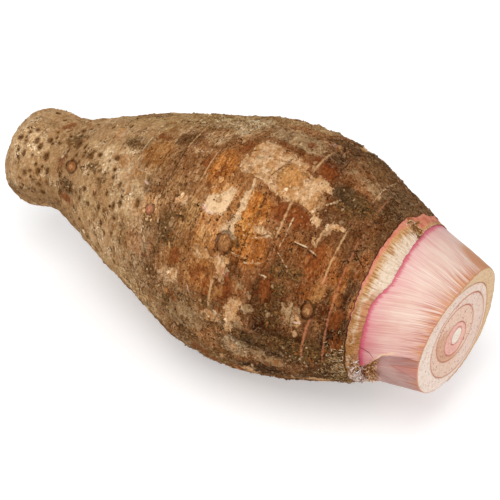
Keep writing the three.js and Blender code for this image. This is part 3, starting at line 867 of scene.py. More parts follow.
def skin_material():
    s = Shader("taro_skin", 0.95, Specular_IOR_Level=0.03)
    crumb = s.noise(0.8, 1, 4, 0.7)
    grain = s.noise((1.1, 1.9), 2, 5, 0.68)
    mottle = s.noise((4, 7), 3, 5, 0.62)
    felt = s.noise((1.5, 2.0), 4, 6, 0.75, distortion=0.8)
    grit = s.noise((1.0, 1.3), 25, 2, 0.8)
    small, large = s.scraps((1.5, 2.0), 31), s.scraps((3.2, 5.0), 32)
    edge = (s.noise(3.4, 6, 4, 0.6) - 0.5) * 11.0 + (s.noise(1.2, 16, 4, 0.7) - 0.5) * 7.0

    def threads(size, seed, width, mask_size, mask_low):
        """Fine curling lines, broken here and there."""
        line = s.step(abs(s.noise(size, seed, 2.5, 0.5, distortion=1.3) - 0.5), width, width * 0.25)
        return line * s.step(s.noise(mask_size, seed + 30, 2), mask_low, mask_low + 0.05)

    def specks(size, seed, detail, roughness, low, high):
        """Ragged spots that the noise's peaks make."""
        return s.step(s.noise(size, seed, detail, roughness), low, high)

    def patch_share(name, blur, raggedness=1.0):
        return s.step(s.field(name) + edge * raggedness, -blur, blur)

    def pale_bit(tone, share, factor=1.6):
        """A loose bit's tone: the place's own, lighter, with some of another."""
        return s.mix(s.dim(own, factor), tone, share)

    # Smooth bark
    calm = s.step(s.noise(7, 21, 4), 0.38, 0.52) * s.field("calm")
    rough = 1.0 - calm * 0.8
    own = s.field("ground", "Color")
    ground = s.dim(own, s.step(mottle, 0.38, 0.62, 0.7, 1.32))
    bark = s.dim(
        ground,
        s.step(grain, 0.38, 0.62, 0.72, 1.28),
        s.step(grit, 0.41, 0.59, 0.76, 1.2),
        s.step(s.noise((0.6, 6), 33, 2, 0.55), 0.41, 0.59, 0.78, 1.2),
        s.step(large, 0.0, 1.0, 0.86, 1.14),
    )
    bark = s.over(
        bark,
        (s.dim(own, 0.36), specks((0.9, 1.3), 5, 4, 0.7, 0.59, 0.63) * 0.65),
        (pale_bit("deb88a", 0.35, 1.5), threads((1.3, 4.5), 34, 0.03, 3.0, 0.5) * 0.6),
        (s.dim(own, 0.35), threads((1.6, 3.4), 35, 0.03, 3.4, 0.5) * 0.65),
    )

    # Papery ground
    rough_paper = s.dim(
        ground,
        s.step(felt, 0.39, 0.61, 0.56, 1.66),
        s.step(grit, 0.41, 0.59, 0.72, 1.36),
        s.step(small, 0.0, 1.0, 0.72, 1.3),
        s.step(large, 0.0, 1.0, 0.86, 1.18),
    )
    calm_paper = s.dim(
        s.mix(ground, "c99a6a", 0.4),
        s.step(felt, 0.36, 0.64, 0.8, 1.32),
        s.step(grit, 0.41, 0.59, 0.86, 1.16),
    )
    worn = specks((3.0, 3.6), 22, 5, 0.7, 0.55, 0.62) * 0.8
    worn_tone = s.dim(s.mix(own, "8a5a34", 0.6), s.step(felt, 0.36, 0.64, 0.45, 0.95))
    paper = s.over(
        rough_paper,
        (calm_paper, calm),
        (s.dim(own, 0.36), specks((1.4, 1.9), 8, 5, 0.72, 0.56, 0.64) * rough * 0.8),
        (worn_tone, worn * s.step(calm, 0.3, 0.8, 1.0, 0.5)),
        (s.dim(own, 0.25), threads((3.2, 2.4), 9, 0.045, 2.6, 0.49) * rough * 0.75),
        (pale_bit("e2c197", 0.35), threads((2.6, 1.9), 10, 0.045, 2.2, 0.48) * rough * 0.75),
    )
    papery = patch_share("papery", 1.0, 1.1)
    stray = threads((3.6, 3.0), 11, 0.028, 3.0, 0.51) * s.step(papery, 0.0, 1.0, 0.5, 0.75)
    flecks = specks((0.8, 1.0), 12, 3, 0.6, 0.61, 0.65)
    holes = s.step(s.noise((1.0, 1.2), 26, 1), 0.59, 0.63) * s.step(s.noise(6, 27, 2), 0.42, 0.56, 0.3, 0.95)

    # Tones of the patches
    soil_tone = s.over(
        SOIL,
        ("7c5830", s.step(crumb, 0.4, 0.6)),
        ("a87e4e", specks(1.3, 7, 5, 0.72, 0.54, 0.62)),
        ("a5602c", specks(2.4, 23, 4, 0.7, 0.57, 0.63)),
        ("2a1a0d", specks(1.1, 17, 4, 0.7, 0.53, 0.61)),
    )
    dust_tone = s.dim("b8946a", s.step(felt, 0.36, 0.64, 0.6, 1.3) * s.step(small, 0, 1, 0.85, 1.15))
    bright = s.field("bright")
    dull = 0.9 - bright * 0.8
    cream_tone = s.dim(
        s.mix("c8935e", "dab084", s.step(mottle, 0.4, 0.6)),
        s.step(felt, 0.34, 0.66, 0.58, 1.3),
        s.step(small, 0.0, 1.0, 0.86, 1.12),
    )
    cream_tone = s.over(
        cream_tone,
        (s.dim("f3cc9f", s.step(felt, 0.36, 0.64, 0.86, 1.1)), bright),
        ("a0602e", specks((1.3, 1.7), 18, 5, 0.72, 0.57, 0.65) * dull),
        ("6e4522", threads((2.4, 2.0), 19, 0.022, 2.4, 0.5) * (dull * 0.6)),
    )
    cream_share = patch_share("cream", 0.35, 0.8)
    uneven = s.step(grain, 0.38, 0.62, 0.84, 1.12) * s.step(grit, 0.41, 0.59, 0.84, 1.1)
    soft_tone = s.mix(s.dim(s.mix("c98c50", own, 0.3), uneven), "deb488", s.step(felt, 0.55, 0.64) * 0.5)

    # Lines on the rings
    number = s.field("ring_number")
    away = abs(number - round(number)) * RING_GAP
    broken = (s.noise((1.4, 1.1), 13, 3) - 0.5) * 1.3
    comb = s.step(away, 0.0, 2.0, 1.0, 0.0) * s.step(s.noise((3, 0.6), 14, 2), 0.47, 0.6)
    unbroken = s.step(s.noise((5, 4), 24, 2), 0.4, 0.5)

    def line_share(name, soft):
        return s.step(s.field(name) - away + broken, -soft, soft)

    def path_share(name, soft):
        return s.step(s.field(name) + broken, -soft, soft)

    # Pits and buds
    pit, scar, blush = s.field("pit"), s.field("scar"), s.field("blush")
    pit_edge = pit + (crumb - 0.5) * 1.2
    bud = s.field("from_bud") + (grain - 0.5) * 0.9
    not_scar = 1.0 - s.math("MAXIMUM", scar, blush)
    dome = s.mix("a8683a", "deac74", s.step(crumb, 0.4, 0.56) * s.step(bud, 0.75, 0.35))
    rim = s.step(abs(bud - 1.1), 0.34, 0.12) * (not_scar * 0.4 + 0.45)
    inner_rim = s.step(abs(bud - 0.6), 0.18, 0.05) * (not_scar * 0.5)

    colour = s.over(
        bark,
        (paper, papery),
        (pale_bit("cda876", 0.35), stray * rough),
        (pale_bit("d6b388", 0.4), flecks * (rough * s.step(papery, 0.0, 1.0, 0.5, 0.85))),
        ("2e1a0c", holes * rough),
        (s.mix("6b3214", "9a5428", s.step(grain, 0.38, 0.62)), patch_share("rust", 0.7) * 0.75),
        (soil_tone, patch_share("soil", 0.9, 1.3) * 0.85),
        (s.mix(dust_tone, "6e4a2a", worn), patch_share("dusty", 0.6) * 0.75),
        (cream_tone, cream_share),
        (soft_tone, patch_share("soft", 0.6, 0.9) * 0.8),
        (DARK, comb * s.field("comb")),
        (s.dim("cfa272", s.step(felt, 0.36, 0.64, 0.75, 1.2)), line_share("pale_line", 0.3) * 0.85),
        ("c67a5c", line_share("pink_line", 0.4) * 0.55),
        ("432813", line_share("dark_line", 0.2) * unbroken * 0.8),
        ("dcbc92", path_share("pale_path", 0.25)),
        ("c87c58", path_share("pink_path", 0.4) * 0.7),
        ("f8d2bc", path_share("white_path", 0.4) * 0.85),
        # Near black: cracks, and some painted shadow under the pale lips beside them.
        ("2b1a0d", path_share("dark_path", 0.25) * 0.85),
        ("8a5f38", s.step(pit, 0.05, 0.45) * 0.6),
        (s.mix("85582f", "432a15", s.step(grain, 0.4, 0.6)), s.step(pit_edge, 0.35, 0.6) * 0.9),
        (s.mix("7c4d28", "b98252", s.step((felt + grit) * 0.5, 0.42, 0.58)), scar),
        (s.mix("b9703c", "cf9461", s.step(grain, 0.45, 0.6)), s.field("warm")),
        (s.mix("b8604a", "d08a74", s.step(crumb, 0.42, 0.6)), blush),
        (dome, s.step(bud, 1.0, 0.8) * (not_scar * 0.6)),
        ("361c0b", s.math("MAXIMUM", rim, inner_rim) * s.step(felt, 0.6, 0.4, 0.6, 0.95)),
    )
    height = crumb * 0.5 + grain * 0.6 + small * papery * 0.25 + felt * papery * 0.9 - cream_share * 0.25
    return s.finish(colour, height, depth=0.9, strength=1.0)


def unwrap_grid(row_count, middles):
    """Places a grid's corners on a map: a cylinder unrolled, with a fan's middle level with its faces."""
    def unwrap(mesh, corners):
        row, column = np.divmod(corners, COLUMNS)
        u = column / COLUMNS
        v = (np.clip(row, 0, row_count - 1) + 1) / (row_count + 1)
        starts, totals = np.zeros((2, len(mesh.polygons)), int)
        mesh.polygons.foreach_get("loop_start", starts)
        mesh.polygons.foreach_get("loop_total", totals)
        face = np.repeat(np.arange(len(starts)), totals)
        is_middle = corners >= row_count * COLUMNS

        def highest():
            return np.maximum.reduceat(np.where(is_middle, 0, u), starts)[face]

        u = np.where((highest() - u > 0.5) & ~is_middle, u + 1, u)
        u = np.where(is_middle, highest() - 0.5 / COLUMNS, u)
        v = np.where(is_middle, np.where(corners == middles[0], 0.0, 1.0), v)
        return np.stack([u * COLUMNS / (COLUMNS + 1), v], -1)
    return unwrap


def grid_normals(points):
    """Outward normals of a grid whose rows follow the root and whose columns join up."""
    around = np.roll(points, -1, 1) - np.roll(points, 1, 1)
    normals = np.cross(around, np.gradient(points, axis=0))
    return normals / np.linalg.norm(normals, axis=-1, keepdims=True)


skin_points = skin.base + skin.rays * skin_relief()[..., None]
skin_points[..., 2] = np.maximum(skin_points[..., 2], 0)
skin_edge_radius = np.linalg.norm((skin_points[-1] - axis_at(skin.edge))[:, 1:], axis=1)
skin_normals = grid_normals(skin_points)


def skin_fields():
    def fading(strength, field, low, high):
        return strength * smoothstep(field, low, high)

    bright = fading(1, skin.blot(136, 34, 7, 7), -1.5, 1.5) + fading(0.5, skin.blot(141, 28, 4, 4), -1.5, 1)
    blush = [
        fading(0.8, skin.blot(103.4, 48.0, 2.0, 2.4), -0.9, 0.8),
        fading(0.5, skin.blot(166.6, -20.5, 1.4, 2), -0.5, 0.5),
        fading(0.35, skin.blot(131.5, 37.8, 1.8, 0.9), -0.4, 0.4),
        fading(0.35, skin.blot(151, 60, 2.6, 1.8), -0.6, 0.6),
    ]
    return {
        "cream": cream, "rust": rust, "soil": soil, "papery": papery, "dusty": dusty, "soft": soft,
        "pit": pit, "from_bud": np.minimum(from_bud, 3), "ring_number": ring_number,
        "pale_path": pale_path, "dark_path": dark_path, "pink_path": pink_path, "white_path": white_path,
        "bright": np.clip(np.maximum(bright, fading(0.7, skin.outline(SPINDLE), -2, 0.5)), 0, 1),
        "blush": union(blush),
        "calm": 1 - fading(0.75, skin.station, 84, 104),
        "warm": fading(0.8, skin.blot(46.5, 45, 3.2, 5.6), -0.5, 0.8),
        "scar": fading(0.8, skin.blot(147.4, 47.8, 3.5, 4.0), -0.4, 0.5),
        "pale_line": line_widths(PALE_LINES, 0.35, 0.35, 71),
        "pink_line": line_widths(PINK_LINES, 0.08, 0.3, 72),
        "dark_line": line_widths(DARK_LINES, 0.5, 0.15, 73),
        "comb": fading(0.75, noise(places, (8, 14), 74), -0.2, 0.6) * smoothstep(skin.station, 80, 120),
    }


def build_skin():
    """The skin in two pieces: the knob and cone, and the body, closed over the crown under the stalks."""
    fields, material = skin_fields(), skin_material()
    seam = CAP_ROWS + CONE_ROWS
    across = outward_at(skin.angles)
    fold = [axis_at(skin.edge + beyond) + across * (skin_edge_radius - inward)[:, None]
            for beyond, inward in ((0.3, 0.3), (0.2, 0.9))]
    crown_rows = [axis_at(station) + across * radius for station, radius in (
        (skin.edge, CROWN_RADIUS), (CROWN_STATION, CROWN_RADIUS), (CROWN_STATION, CROWN_RADIUS / 2))]
    tip = axis_at(CAP_CENTRE) - [skin.reach[0].mean(), 0, 0]
    for name, rows, added, end, is_cone in (
        ("corm_skin_cone", slice(0, seam), [], tip, True),
        ("corm_skin_body", slice(seam - 1, None), fold + crown_rows, axis_at(CROWN_STATION), False),
    ):
        grid = np.concatenate([skin_points[rows].reshape(-1, 3)] + added)
        row_count = len(grid) // COLUMNS
        rim = 0 if is_cone else len(grid) - COLUMNS
        faces = tube_faces(row_count, COLUMNS) + fan_faces(len(grid), rim, COLUMNS, is_cone)

        def spread(field, end_row=0 if is_cone else -1):
            """A field carried on over the rows that were added and the fan's middle."""
            part = field[rows]
            flat = part.reshape(-1, *part.shape[2:])
            more = np.concatenate([flat[:0]] + [part[-1]] * len(added))
            return np.concatenate([flat, more, part[end_row].mean(0, keepdims=True)])

        piece = new_piece(
            name, np.concatenate([grid, [end]]), faces, material, "skin", ["corm"],
            {label: spread(values) for label, values in fields.items()}, {"ground": spread(ground)},
            unwrap_grid(row_count, (len(grid), -1) if is_cone else (-1, len(grid))),
        )
        whole = np.array([v.normal for v in piece.data.vertices])
        kept = skin_normals[rows].reshape(-1, 3)
        at_seam = slice(len(kept) - COLUMNS, len(kept)) if is_cone else slice(0, COLUMNS)
        whole[at_seam] = kept[at_seam]
        piece.data.normals_split_custom_set_from_vertices(whole)


build_skin()

# ---- Stub of leaf stalks ----

STALKS = [
    "leaf_stalk_1_outer", "leaf_stalk_2", "leaf_stalk_3", "leaf_stalk_4", "leaf_stalk_5_pink",
    "rolled_leaf_heart",
]
LOW_STATION, HIGH_STATION = 217.0, 238.0  # where the stalks' outlines are read from the solids
FOOT_STATION = CROWN_STATION + 0.3
CAST_FROM = 60.0
COMPASS = np.arange(0, 360, 2.0)
# How far a wall follows top_press.
PRESSED = {"leaf_stalk_2": 1.0, "leaf_stalk_3": 0.75, "leaf_stalk_4": 0.35}
COLLAR_TOP, COLLAR_LOW = 220.2, 5.0

# The outermost stalk's margins, as stations and angles.
NEAR_MARGIN = [(214, 104), (216.8, 101.5), (219, 98.5), (221.2, 94), (223.4, 89.5), (225.4, 85), (229, 82.2),
               (233.2, 80), (237, 78.4), (248, 77)]
FAR_MARGIN = [(214, 172), (226, 178), (240, 171), (248, 170)]
STALK_COLUMNS = 300
SIDE_ROWS, FACE_ROWS, HIDDEN_ROWS = 44, 14, 5
VEIN_LEAN = 0.55  # degrees for each millimetre along the root
STRAIGHT_RADIUS = 36.0  # of the tube on which the veins' pattern runs straight
CRACK = [(216.4, 85.4), (219.8, 87.2), (221.6, 90.6)]  # stations and angles
RIM = 0.35  # how far the cut's edge is rounded
EDGE_DROP = 0.09
CAD_GAP = 0.3
SEEN_GAP = 0.06  # what shows of it between the stalks on the cut


def heart_axis(station):
    """Middle of the rolled leaf at a station."""
    points = node_points("rolled_leaf_heart")
    foot = middle_of(points[points[:, 0] < points[:, 0].min() + 0.1])
    top = middle_of(points[points[:, 0] > points[:, 0].mean()])
    share = (STATION_ZERO + np.asarray(station, float) - foot[0]) / (top[0] - foot[0])
    return foot + share[..., None] * (top - foot)


def stub_bend(degrees, station):
    """How far the stub is pressed in or out near the cut."""
    bends = -2.7 * bell(turned(degrees - 170), 34) + 0.9 * bell(turned(degrees + 66), 24)
    return (bends - 0.7 * bell(turned(degrees + 150), 22)) * smoothstep(np.asarray(station, float), 222, 246)


def top_press(degrees, station):
    """How far the top of the stub is pressed in just below the cut."""
    return -2.1 * bell(turned(degrees - 2), 42) * smoothstep(np.asarray(station, float), 233, 250)


class Outline:
    """The outside of a CAD stalk, as a reach from a centre line that runs straight in the station."""

    def __init__(self, name, centre_line):
        self.centre_line = centre_line
        self.bends = float(name == STALKS[1])
        self.pressed = PRESSED.get(name, 0.0)
        rays, tree = outward_at(COMPASS), tree_of(name)
        self.reaches = []
        for station in (LOW_STATION, HIGH_STATION):
            reach = CAST_FROM - cast(tree, centre_line(station) + rays * CAST_FROM, -rays)
            self.reaches.append(blurred(reach[None], 0, 6)[0])

    def reach(self, degrees, station):
        low, high = (np.interp(degrees, COMPASS, reach, period=360) for reach in self.reaches)
        return low + (high - low) * (station - LOW_STATION) / (HIGH_STATION - LOW_STATION)

    def point(self, degrees, station, more=0.0):
        bend = self.bends * stub_bend(degrees, station) + self.pressed * top_press(degrees, station)
        reach = self.reach(degrees, station) + more + bend
        return self.centre_line(station) + outward_at(degrees) * reach[..., None]


class Circle:
    """The outermost stalk's outside: a circle fitted to the CAD stalk, which is open along one side."""

    def __init__(self, name, degrees):
        tree, rays = tree_of(name), outward_at(degrees)
        self.ends = []
        for station in (LOW_STATION, HIGH_STATION):
            centre = heart_axis(station)
            reach = CAST_FROM - cast(tree, centre + rays * CAST_FROM, -rays)
            y, z = (centre + rays * reach[:, None])[:, 1:].T
            a, b, c = np.linalg.lstsq(np.stack([y, z, 1 + 0 * y], 1), y ** 2 + z ** 2, rcond=None)[0]
            self.ends.append((np.array([centre[0], a / 2, b / 2]), math.sqrt(c + (a ** 2 + b ** 2) / 4)))

    def at(self, station):
        """Centre and radius at a station."""
        share = (np.asarray(station, float) - LOW_STATION) / (HIGH_STATION - LOW_STATION)
        (low, low_radius), (high, high_radius) = self.ends
        return low + share[..., None] * (high - low), low_radius + share * (high_radius - low_radius)

    def centre_line(self, station):
        return self.at(station)[0]

    def point(self, degrees, station, more=0.0):
        centre, radius = self.at(station)
        bend = stub_bend(degrees, station) + top_press(degrees, station)
        return centre + outward_at(degrees) * (radius + more + bend)[..., None]


stub = Circle(STALKS[0], np.arange(190, 430, 4.0))


def cut_plane():
    """A point on the slanted cut and the cut's normal, from the outermost stalk's top edge."""
    points = node_points(STALKS[0])
    points = points[points[:, 0] > STATION_ZERO + HIGH_STATION]
    middle = points.mean(0)
    normal = np.linalg.svd(points - middle)[2][2]
    return middle, normal * np.sign(normal[0])


cut_middle, cut_normal = cut_plane()


def collar_top_at(degrees):
    return COLLAR_TOP - COLLAR_LOW * band(np.asarray(degrees, float) % 360, 30, 58, 115, 175)


def stalk_degrees(index, station):
    """Angles of a wall's columns at a station. The outermost wall runs from margin to margin."""
    if index:
        return evenly_round(STALK_COLUMNS) + 0 * station
    share = np.linspace(0, 1, STALK_COLUMNS)
    torn = 0.9 * (1 - smoothstep(station, 225, 233)) * np.sin(station * 2.9) * np.sin(station * 1.3 + 1)
    near, far = along(NEAR_MARGIN, station) + torn, along(FAR_MARGIN, station)
    return far + (360 + near - far) * share


def cut_station(index, outline, more):
    """Station where each of a wall's columns meets the slanted cut."""
    station = np.full(STALK_COLUMNS, HIGH_STATION)
    for _ in range(4):
        point = outline.point(stalk_degrees(index, station), station, more)
        drop = (point - cut_middle)[:, 1:] @ cut_normal[1:] / cut_normal[0]
        station = cut_middle[0] - drop - STATION_ZERO + 0.05 * np.maximum(0, point[:, 2] - cut_middle[2])
    if index == 0 and more <= 0:
        around = stalk_degrees(index, station)
        station = station + 1.7 * bell(turned(around - 12), 46) + 0.25 * noise(point, 3, 88)
        station = station + 0.3 * noise(point, 0.9, 87) * (np.abs(turned(around - 45)) < 60)
    return station


def unrolled(points, degrees):
    """Points moved out to one tube, so that patterns run along the root, leaning upwards on the near side."""
    lean = VEIN_LEAN * band(turned(degrees), 8, 38, 78, 122)
    turned_by = lean * np.maximum(points[:, 0] - STATION_ZERO - LOW_STATION, 0)
    return np.column_stack([points[:, 0], STRAIGHT_RADIUS * outward_at(degrees + turned_by)[:, 1:]])


def side_relief(index, points, degrees):
    """Veins and shallow furrows that run along a stalk."""
    if index > 1:
        return 0 * degrees
    flat = unrolled(points, degrees)
    veins = 0.02 * noise(flat, (45, 1.5), 81) + 0.022 * noise(flat, (30, 0.9), 82)
    return veins + 0.12 * noise(flat, (60, 9), 83) + 0.05 * noise(points, (3, 2), 84)


def build_stalk(index, material, slot):
    name = STALKS[index]
    is_open = index == 0
    grow = 0.0 if is_open else (CAD_GAP - SEEN_GAP) / 2
    centre_line = stub.centre_line if index < 2 else heart_axis
    outer = stub if is_open else Outline(name, centre_line)
    inner = Outline(STALKS[index + 1], centre_line) if index + 1 < len(STALKS) else None
    top = cut_station(index, outer, grow)
    rows, on_face, from_rim, straight = [], [], [], []

    def add(points, face, rim, around=None):
        rows.append(points)
        straight.append(points if around is None else unrolled(points, around))
        on_face.append(np.full(STALK_COLUMNS, float(face)))
        from_rim.append(rim + np.zeros(STALK_COLUMNS))

    for share in np.linspace(0, 1, SIDE_ROWS if index < 2 else HIDDEN_ROWS):
        station = FOOT_STATION + share * (top - RIM - FOOT_STATION)
        degrees = stalk_degrees(index, station)
        lift = side_relief(index, outer.point(degrees, station, grow), degrees)
        if is_open:
            to_margin = np.minimum(np.arange(STALK_COLUMNS), np.arange(STALK_COLUMNS)[::-1])
            lift += 0.45 * (1 - smoothstep(to_margin, 0, 4)) * (1 - smoothstep(station, 226, 240))
        add(outer.point(degrees, station, grow + lift), 0, -(top - station), degrees)
    degrees = stalk_degrees(index, top)
    rim_lift = rows[-1] - outer.point(stalk_degrees(index, top - RIM), top - RIM, grow)
    outer_edge = outer.point(degrees, top, grow - RIM) + rim_lift
    inner_edge = np.broadcast_to(outer_edge.mean(0), outer_edge.shape)
    if inner:
        inner_more = (CAD_GAP + SEEN_GAP) / 2
        inner_top = cut_station(index, inner, inner_more)
        inner_edge = inner.point(stalk_degrees(index, inner_top), inner_top, inner_more + RIM)
    rounded = outer.point(degrees, top, grow - EDGE_DROP) + rim_lift - EDGE_DROP * cut_normal
    add(rounded, 0.5, 0.0, degrees)
    width = np.linalg.norm(inner_edge - outer_edge, axis=1)
    for share in np.linspace(0, 1, FACE_ROWS, endpoint=bool(inner)):
        points = outer_edge + (inner_edge - outer_edge) * share
        bump = 0.05 * noise(points, 0.9, 85 + index) + 0.10 * noise(points, 4, 95 + index)
        edge_fall = 0.12 * (1 - smoothstep(np.minimum(share, 1 - share) * width, 0, 0.8)) if inner else 0
        add(points + (bump - edge_fall)[:, None] * cut_normal, 1, RIM + share * width)
    if inner:
        rounded = inner.point(stalk_degrees(index, inner_top), inner_top, inner_more + EDGE_DROP)
        add(rounded - EDGE_DROP * cut_normal, 1, RIM + width)
        for share in np.linspace(1, 0, SIDE_ROWS if is_open else HIDDEN_ROWS):
            station = FOOT_STATION + share * (inner_top - RIM - FOOT_STATION)
            add(inner.point(stalk_degrees(index, station), station, inner_more), 0, 40)
    points, count = np.concatenate(rows), len(rows)
    faces = tube_faces(count, STALK_COLUMNS, joined=not is_open, looped=bool(inner))
    if is_open:
        faces += margin_caps(count)
    middles = () if inner else (0, count - 1)
    for row in middles:
        faces += fan_faces(len(points), row * STALK_COLUMNS, STALK_COLUMNS, flipped=row == 0)
        points = np.concatenate([points, [rows[row].mean(0)]])
    on_face = np.concatenate(on_face + [[0, 1][:len(middles)]])
    from_rim = np.concatenate(from_rim + [[-40, 10][:len(middles)]])
    to_inner = np.concatenate([np.tile(width, count), [0] * len(middles)]) + 2 * RIM - from_rim
    station = points[:, 0] - STATION_ZERO
    away = points - axis_at(station)
    degrees = np.degrees(np.arctan2(-away[:, 1], away[:, 2]))
    from_wedge = station - 229.6  # the wedge's tip
    fields = {
        "on_face": on_face,
        "from_rim": np.clip(from_rim, -40, 40),
        "to_inner": np.clip(to_inner, -5, 40),
        "above_collar": station - collar_top_at(degrees),
        "low_side": band(degrees, 45, 92, 150, 200),
        "rusty": smoothstep(-reach_in((243, -41, 15, 22), station, degrees), -1.15, -0.25),
        # Painted highlight: the side of the stub that faces the key light is made lighter.
        "pale_side": bell(turned(degrees - 17), 25) * band(station, 214, 221, 232, 244),
        "wedge": 0.6 * np.minimum(turned(degrees - 93.8 + 0.35 * from_wedge),
                                  turned(93.8 + 0.64 * from_wedge - degrees)),
        "to_margin": np.clip(np.abs(turned(degrees - along(NEAR_MARGIN, station))) * 0.65, 0, 20),
        "crack": np.clip(0.65 * turned(degrees - along(CRACK, station)), -4, 4),
        "cracked": 1 - smoothstep(station, 220.8, 222.2),
    }
    straight = np.concatenate(straight)
    straight = np.concatenate([straight, points[len(straight):]]) * MM
    new_name = name.replace("leaf_", "cut_")
    new_piece(new_name, points, faces, material, slot, [name], fields, {"straight": straight})


def margin_caps(count):
    """Faces that close the outermost wall along its two margins."""
    faces = []
    for column, turn in ((0, 1), (STALK_COLUMNS - 1, -1)):
        at = np.arange(count) * STALK_COLUMNS + column
        for k in range(SIDE_ROWS - 1):
            faces.append([int(at[row]) for row in (k, k + 1, -2 - k, -1 - k)][::turn])
        faces.append(at[SIDE_ROWS - 1:count - SIDE_ROWS + 1].tolist()[::turn])
    return faces


def stalk_material(name, face_colour, side_colour, line_colour, dots, blush, low_colour):
    """Moist leaf stalk: veined sides, crimson at the foot, and a speckled cut face."""
    s = Shader(
        name, 0.45, place="straight", Specular_IOR_Level=0.3, Subsurface_Weight=0.1, Subsurface_Scale=0.002)
    s.surface["Subsurface Radius"].default_value = (1.0, 0.45, 0.35)
    vein = s.noise((45, 1.3), 1, 2, 0.6)
    fine_vein = s.noise((24, 0.55), 2, 2, 0.65)
    hair_vein = s.noise((14, 0.38), 9, 1, 0.5)
    blotch = s.noise((2.5, 1.6), 8, 5, 0.7)
    above, rim, low, wedge = (s.field(one) for one in ("above_collar", "from_rim", "low_side", "wedge"))
    pale_share = s.step(s.noise((16, 8), 3, 3), 0.4, 0.6, 0.05, 0.6 * min(1, 0.3 + blush))
    glow = s.step(above - (vein + fine_vein) * 7.0, -7.5, 5.0, 1.0, 0.0)
    foot_line = s.step(above - hair_vein * 3.6, -1.0, 0.7, 1.0, 0.0)
    near_cut = s.step(rim + (vein - 0.5) * 26.0, -7.0, 1.0)
    rusty = s.step(s.field("rusty") + fine_vein * 1.1, 0.75, 1.45)
    wedge_edge = s.step(abs(wedge), 0.4, 0.1) * s.step(wedge, -0.5, -0.2)
    frayed = s.step(s.field("to_margin") + blotch * 2.0, 1.7, 1.1) * s.step(above, 20.0, 12.0)
    side = s.over(
        side_colour,
        ("e9d3c2", pale_share),
        ("d08a8c", low * (0.8 * blush)),
        # Painted highlight where the stub's side faces the key light.
        ("f2dfd2", s.field("pale_side") * 0.35),
        ("c6807a", s.step(vein * 0.45 + fine_vein * 0.55, 0.47, 0.6) * 0.26),
        ("f0dccf", s.step(fine_vein, 0.48, 0.36) * 0.2),
        (s.mix("d2607c", "c0666e", low), glow * ((low * 0.45 + 0.35) * (blush + 0.3))),
        ("c63c62", foot_line * (0.15 + blush)),
        ("c9854f", near_cut * 0.72),
        ("9c4a30", s.step(hair_vein, 0.51, 0.56) * s.step(rim, -14.0, -1.0) * 0.6),
        ("c6786e", s.step(hair_vein, 0.5, 0.6) * 0.22),
        ("c07a40", rusty * 0.85),
        ("c08078", s.step(wedge, -0.1, 0.2) * 0.5),
        ("ad5a42", wedge_edge * 0.7),
        (s.mix("e8c898", "b87f44", s.step(above, 9.0, 4.0)), frayed * 0.9),
        ("6e2f22", s.step(abs(s.field("crack")), 0.45, 0.12) * s.field("cracked") * 0.8),
        ("bd9466", s.step(blotch, 0.65, 0.72) * 0.45),
        (line_colour, s.step(rim, -0.8, -0.2) * 0.7),
    )
    tissue = s.cells(0.9, 4)
    grain = s.noise(1.6, 5, 5, 0.65)
    wobble = (grain - 0.5) * 1.6
    dot = s.step(s.cells(1.3, 6), 0.32, 0.2) * s.step(s.noise(2.6, 7, 1), 0.46, 0.54)
    face = s.mix(face_colour, low_colour, s.step(low + (grain - 0.5), 0.1, 0.9) * 0.8)
    face = s.over(
        face,
        (s.dim(face, 0.84), s.step(grain, 0.44, 0.62)),
        ("f6eade", s.step(tissue, 0.3, 0.1) * 0.5),
        ("9c3414", dot * dots),
        (line_colour, s.step(s.field("to_inner") + wobble, 0.75, 0.3) * 0.65),
        (line_colour, s.step(rim + wobble, 0.6, 0.25) * 0.6),
    )
    on_face = s.step(s.field("on_face"), 0.35, 0.75)
    heights = {0: on_face, 2: vein * 0.6 + fine_vein * 0.5, 3: grain * 0.5 + tissue * 0.1}
    height = s.node("Mix", heights, data_type="FLOAT")
    return s.finish(s.mix(side, face, on_face), height, depth=0.15, strength=0.6)


# Each stalk's material, its slot, its face, side and rim line colours, how strong the dots on its face are,
# how pink its side is, and its face's colour on the low side.
STALK_LOOKS = [
    ("outer_leaf_stalk", "outer_stalk", "dab68a", "d9b2a2", "bd8250", 0.7, 0.65, "dcc2b4"),
    ("second_leaf_stalk", "cut_stalk", "e8cfbf", "9c7068", "c98a6a", 0.7, 0.1, "ecd9cb"),
    ("third_leaf_stalk", "cut_stalk", "e5c9b9", "d39a84", "c97a5e", 0.9, 0.3, "e2bfa8"),
    ("fourth_leaf_stalk", "cut_stalk", "e6c2ac", "cf9078", "c06a48", 1.0, 0.3, "cc9470"),
    ("pink_leaf_stalk", "outer_stalk", "ebb5a6", "d08c80", "c66a58", 0.6, 0.5, "e6aa9c"),
    ("rolled_leaf", "heart", "f0e2d2", "e8c8b6", "d28a78", 0.3, 0.3, "f0e2d2"),
]

for stalk_number, (material_name, stalk_slot, *looks) in enumerate(STALK_LOOKS):
    build_stalk(stalk_number, stalk_material(material_name, *looks), stalk_slot)

# ---- Collar of cut leaf bases ----

COLLAR_COLUMNS, COLLAR_ROWS = 560, 34
# Where the pink band next to the skin gives way to cream fibres: angle and station.
PINK_BAND = [
    (-180, 212.6), (-40, 218.5), (-14, 219), (-3, 213.6), (8, 212.6), (20, 212), (43, 211), (53, 209.8),
    (71, 209.1), (82, 208.6), (92, 206), (120, 206), (135, 209.6), (180, 212.6)]
# The seam between the cut bases of two leaves, as stations and angles.
SEAM = [(211, -11.5), (215.6, -9.5), (220.5, -7)]
TUFT = (212.5, 109, 6, 18)  # oval of torn fibres at the collar's lower side
HOLE = (215, 106.5, 1.0, 2.6)


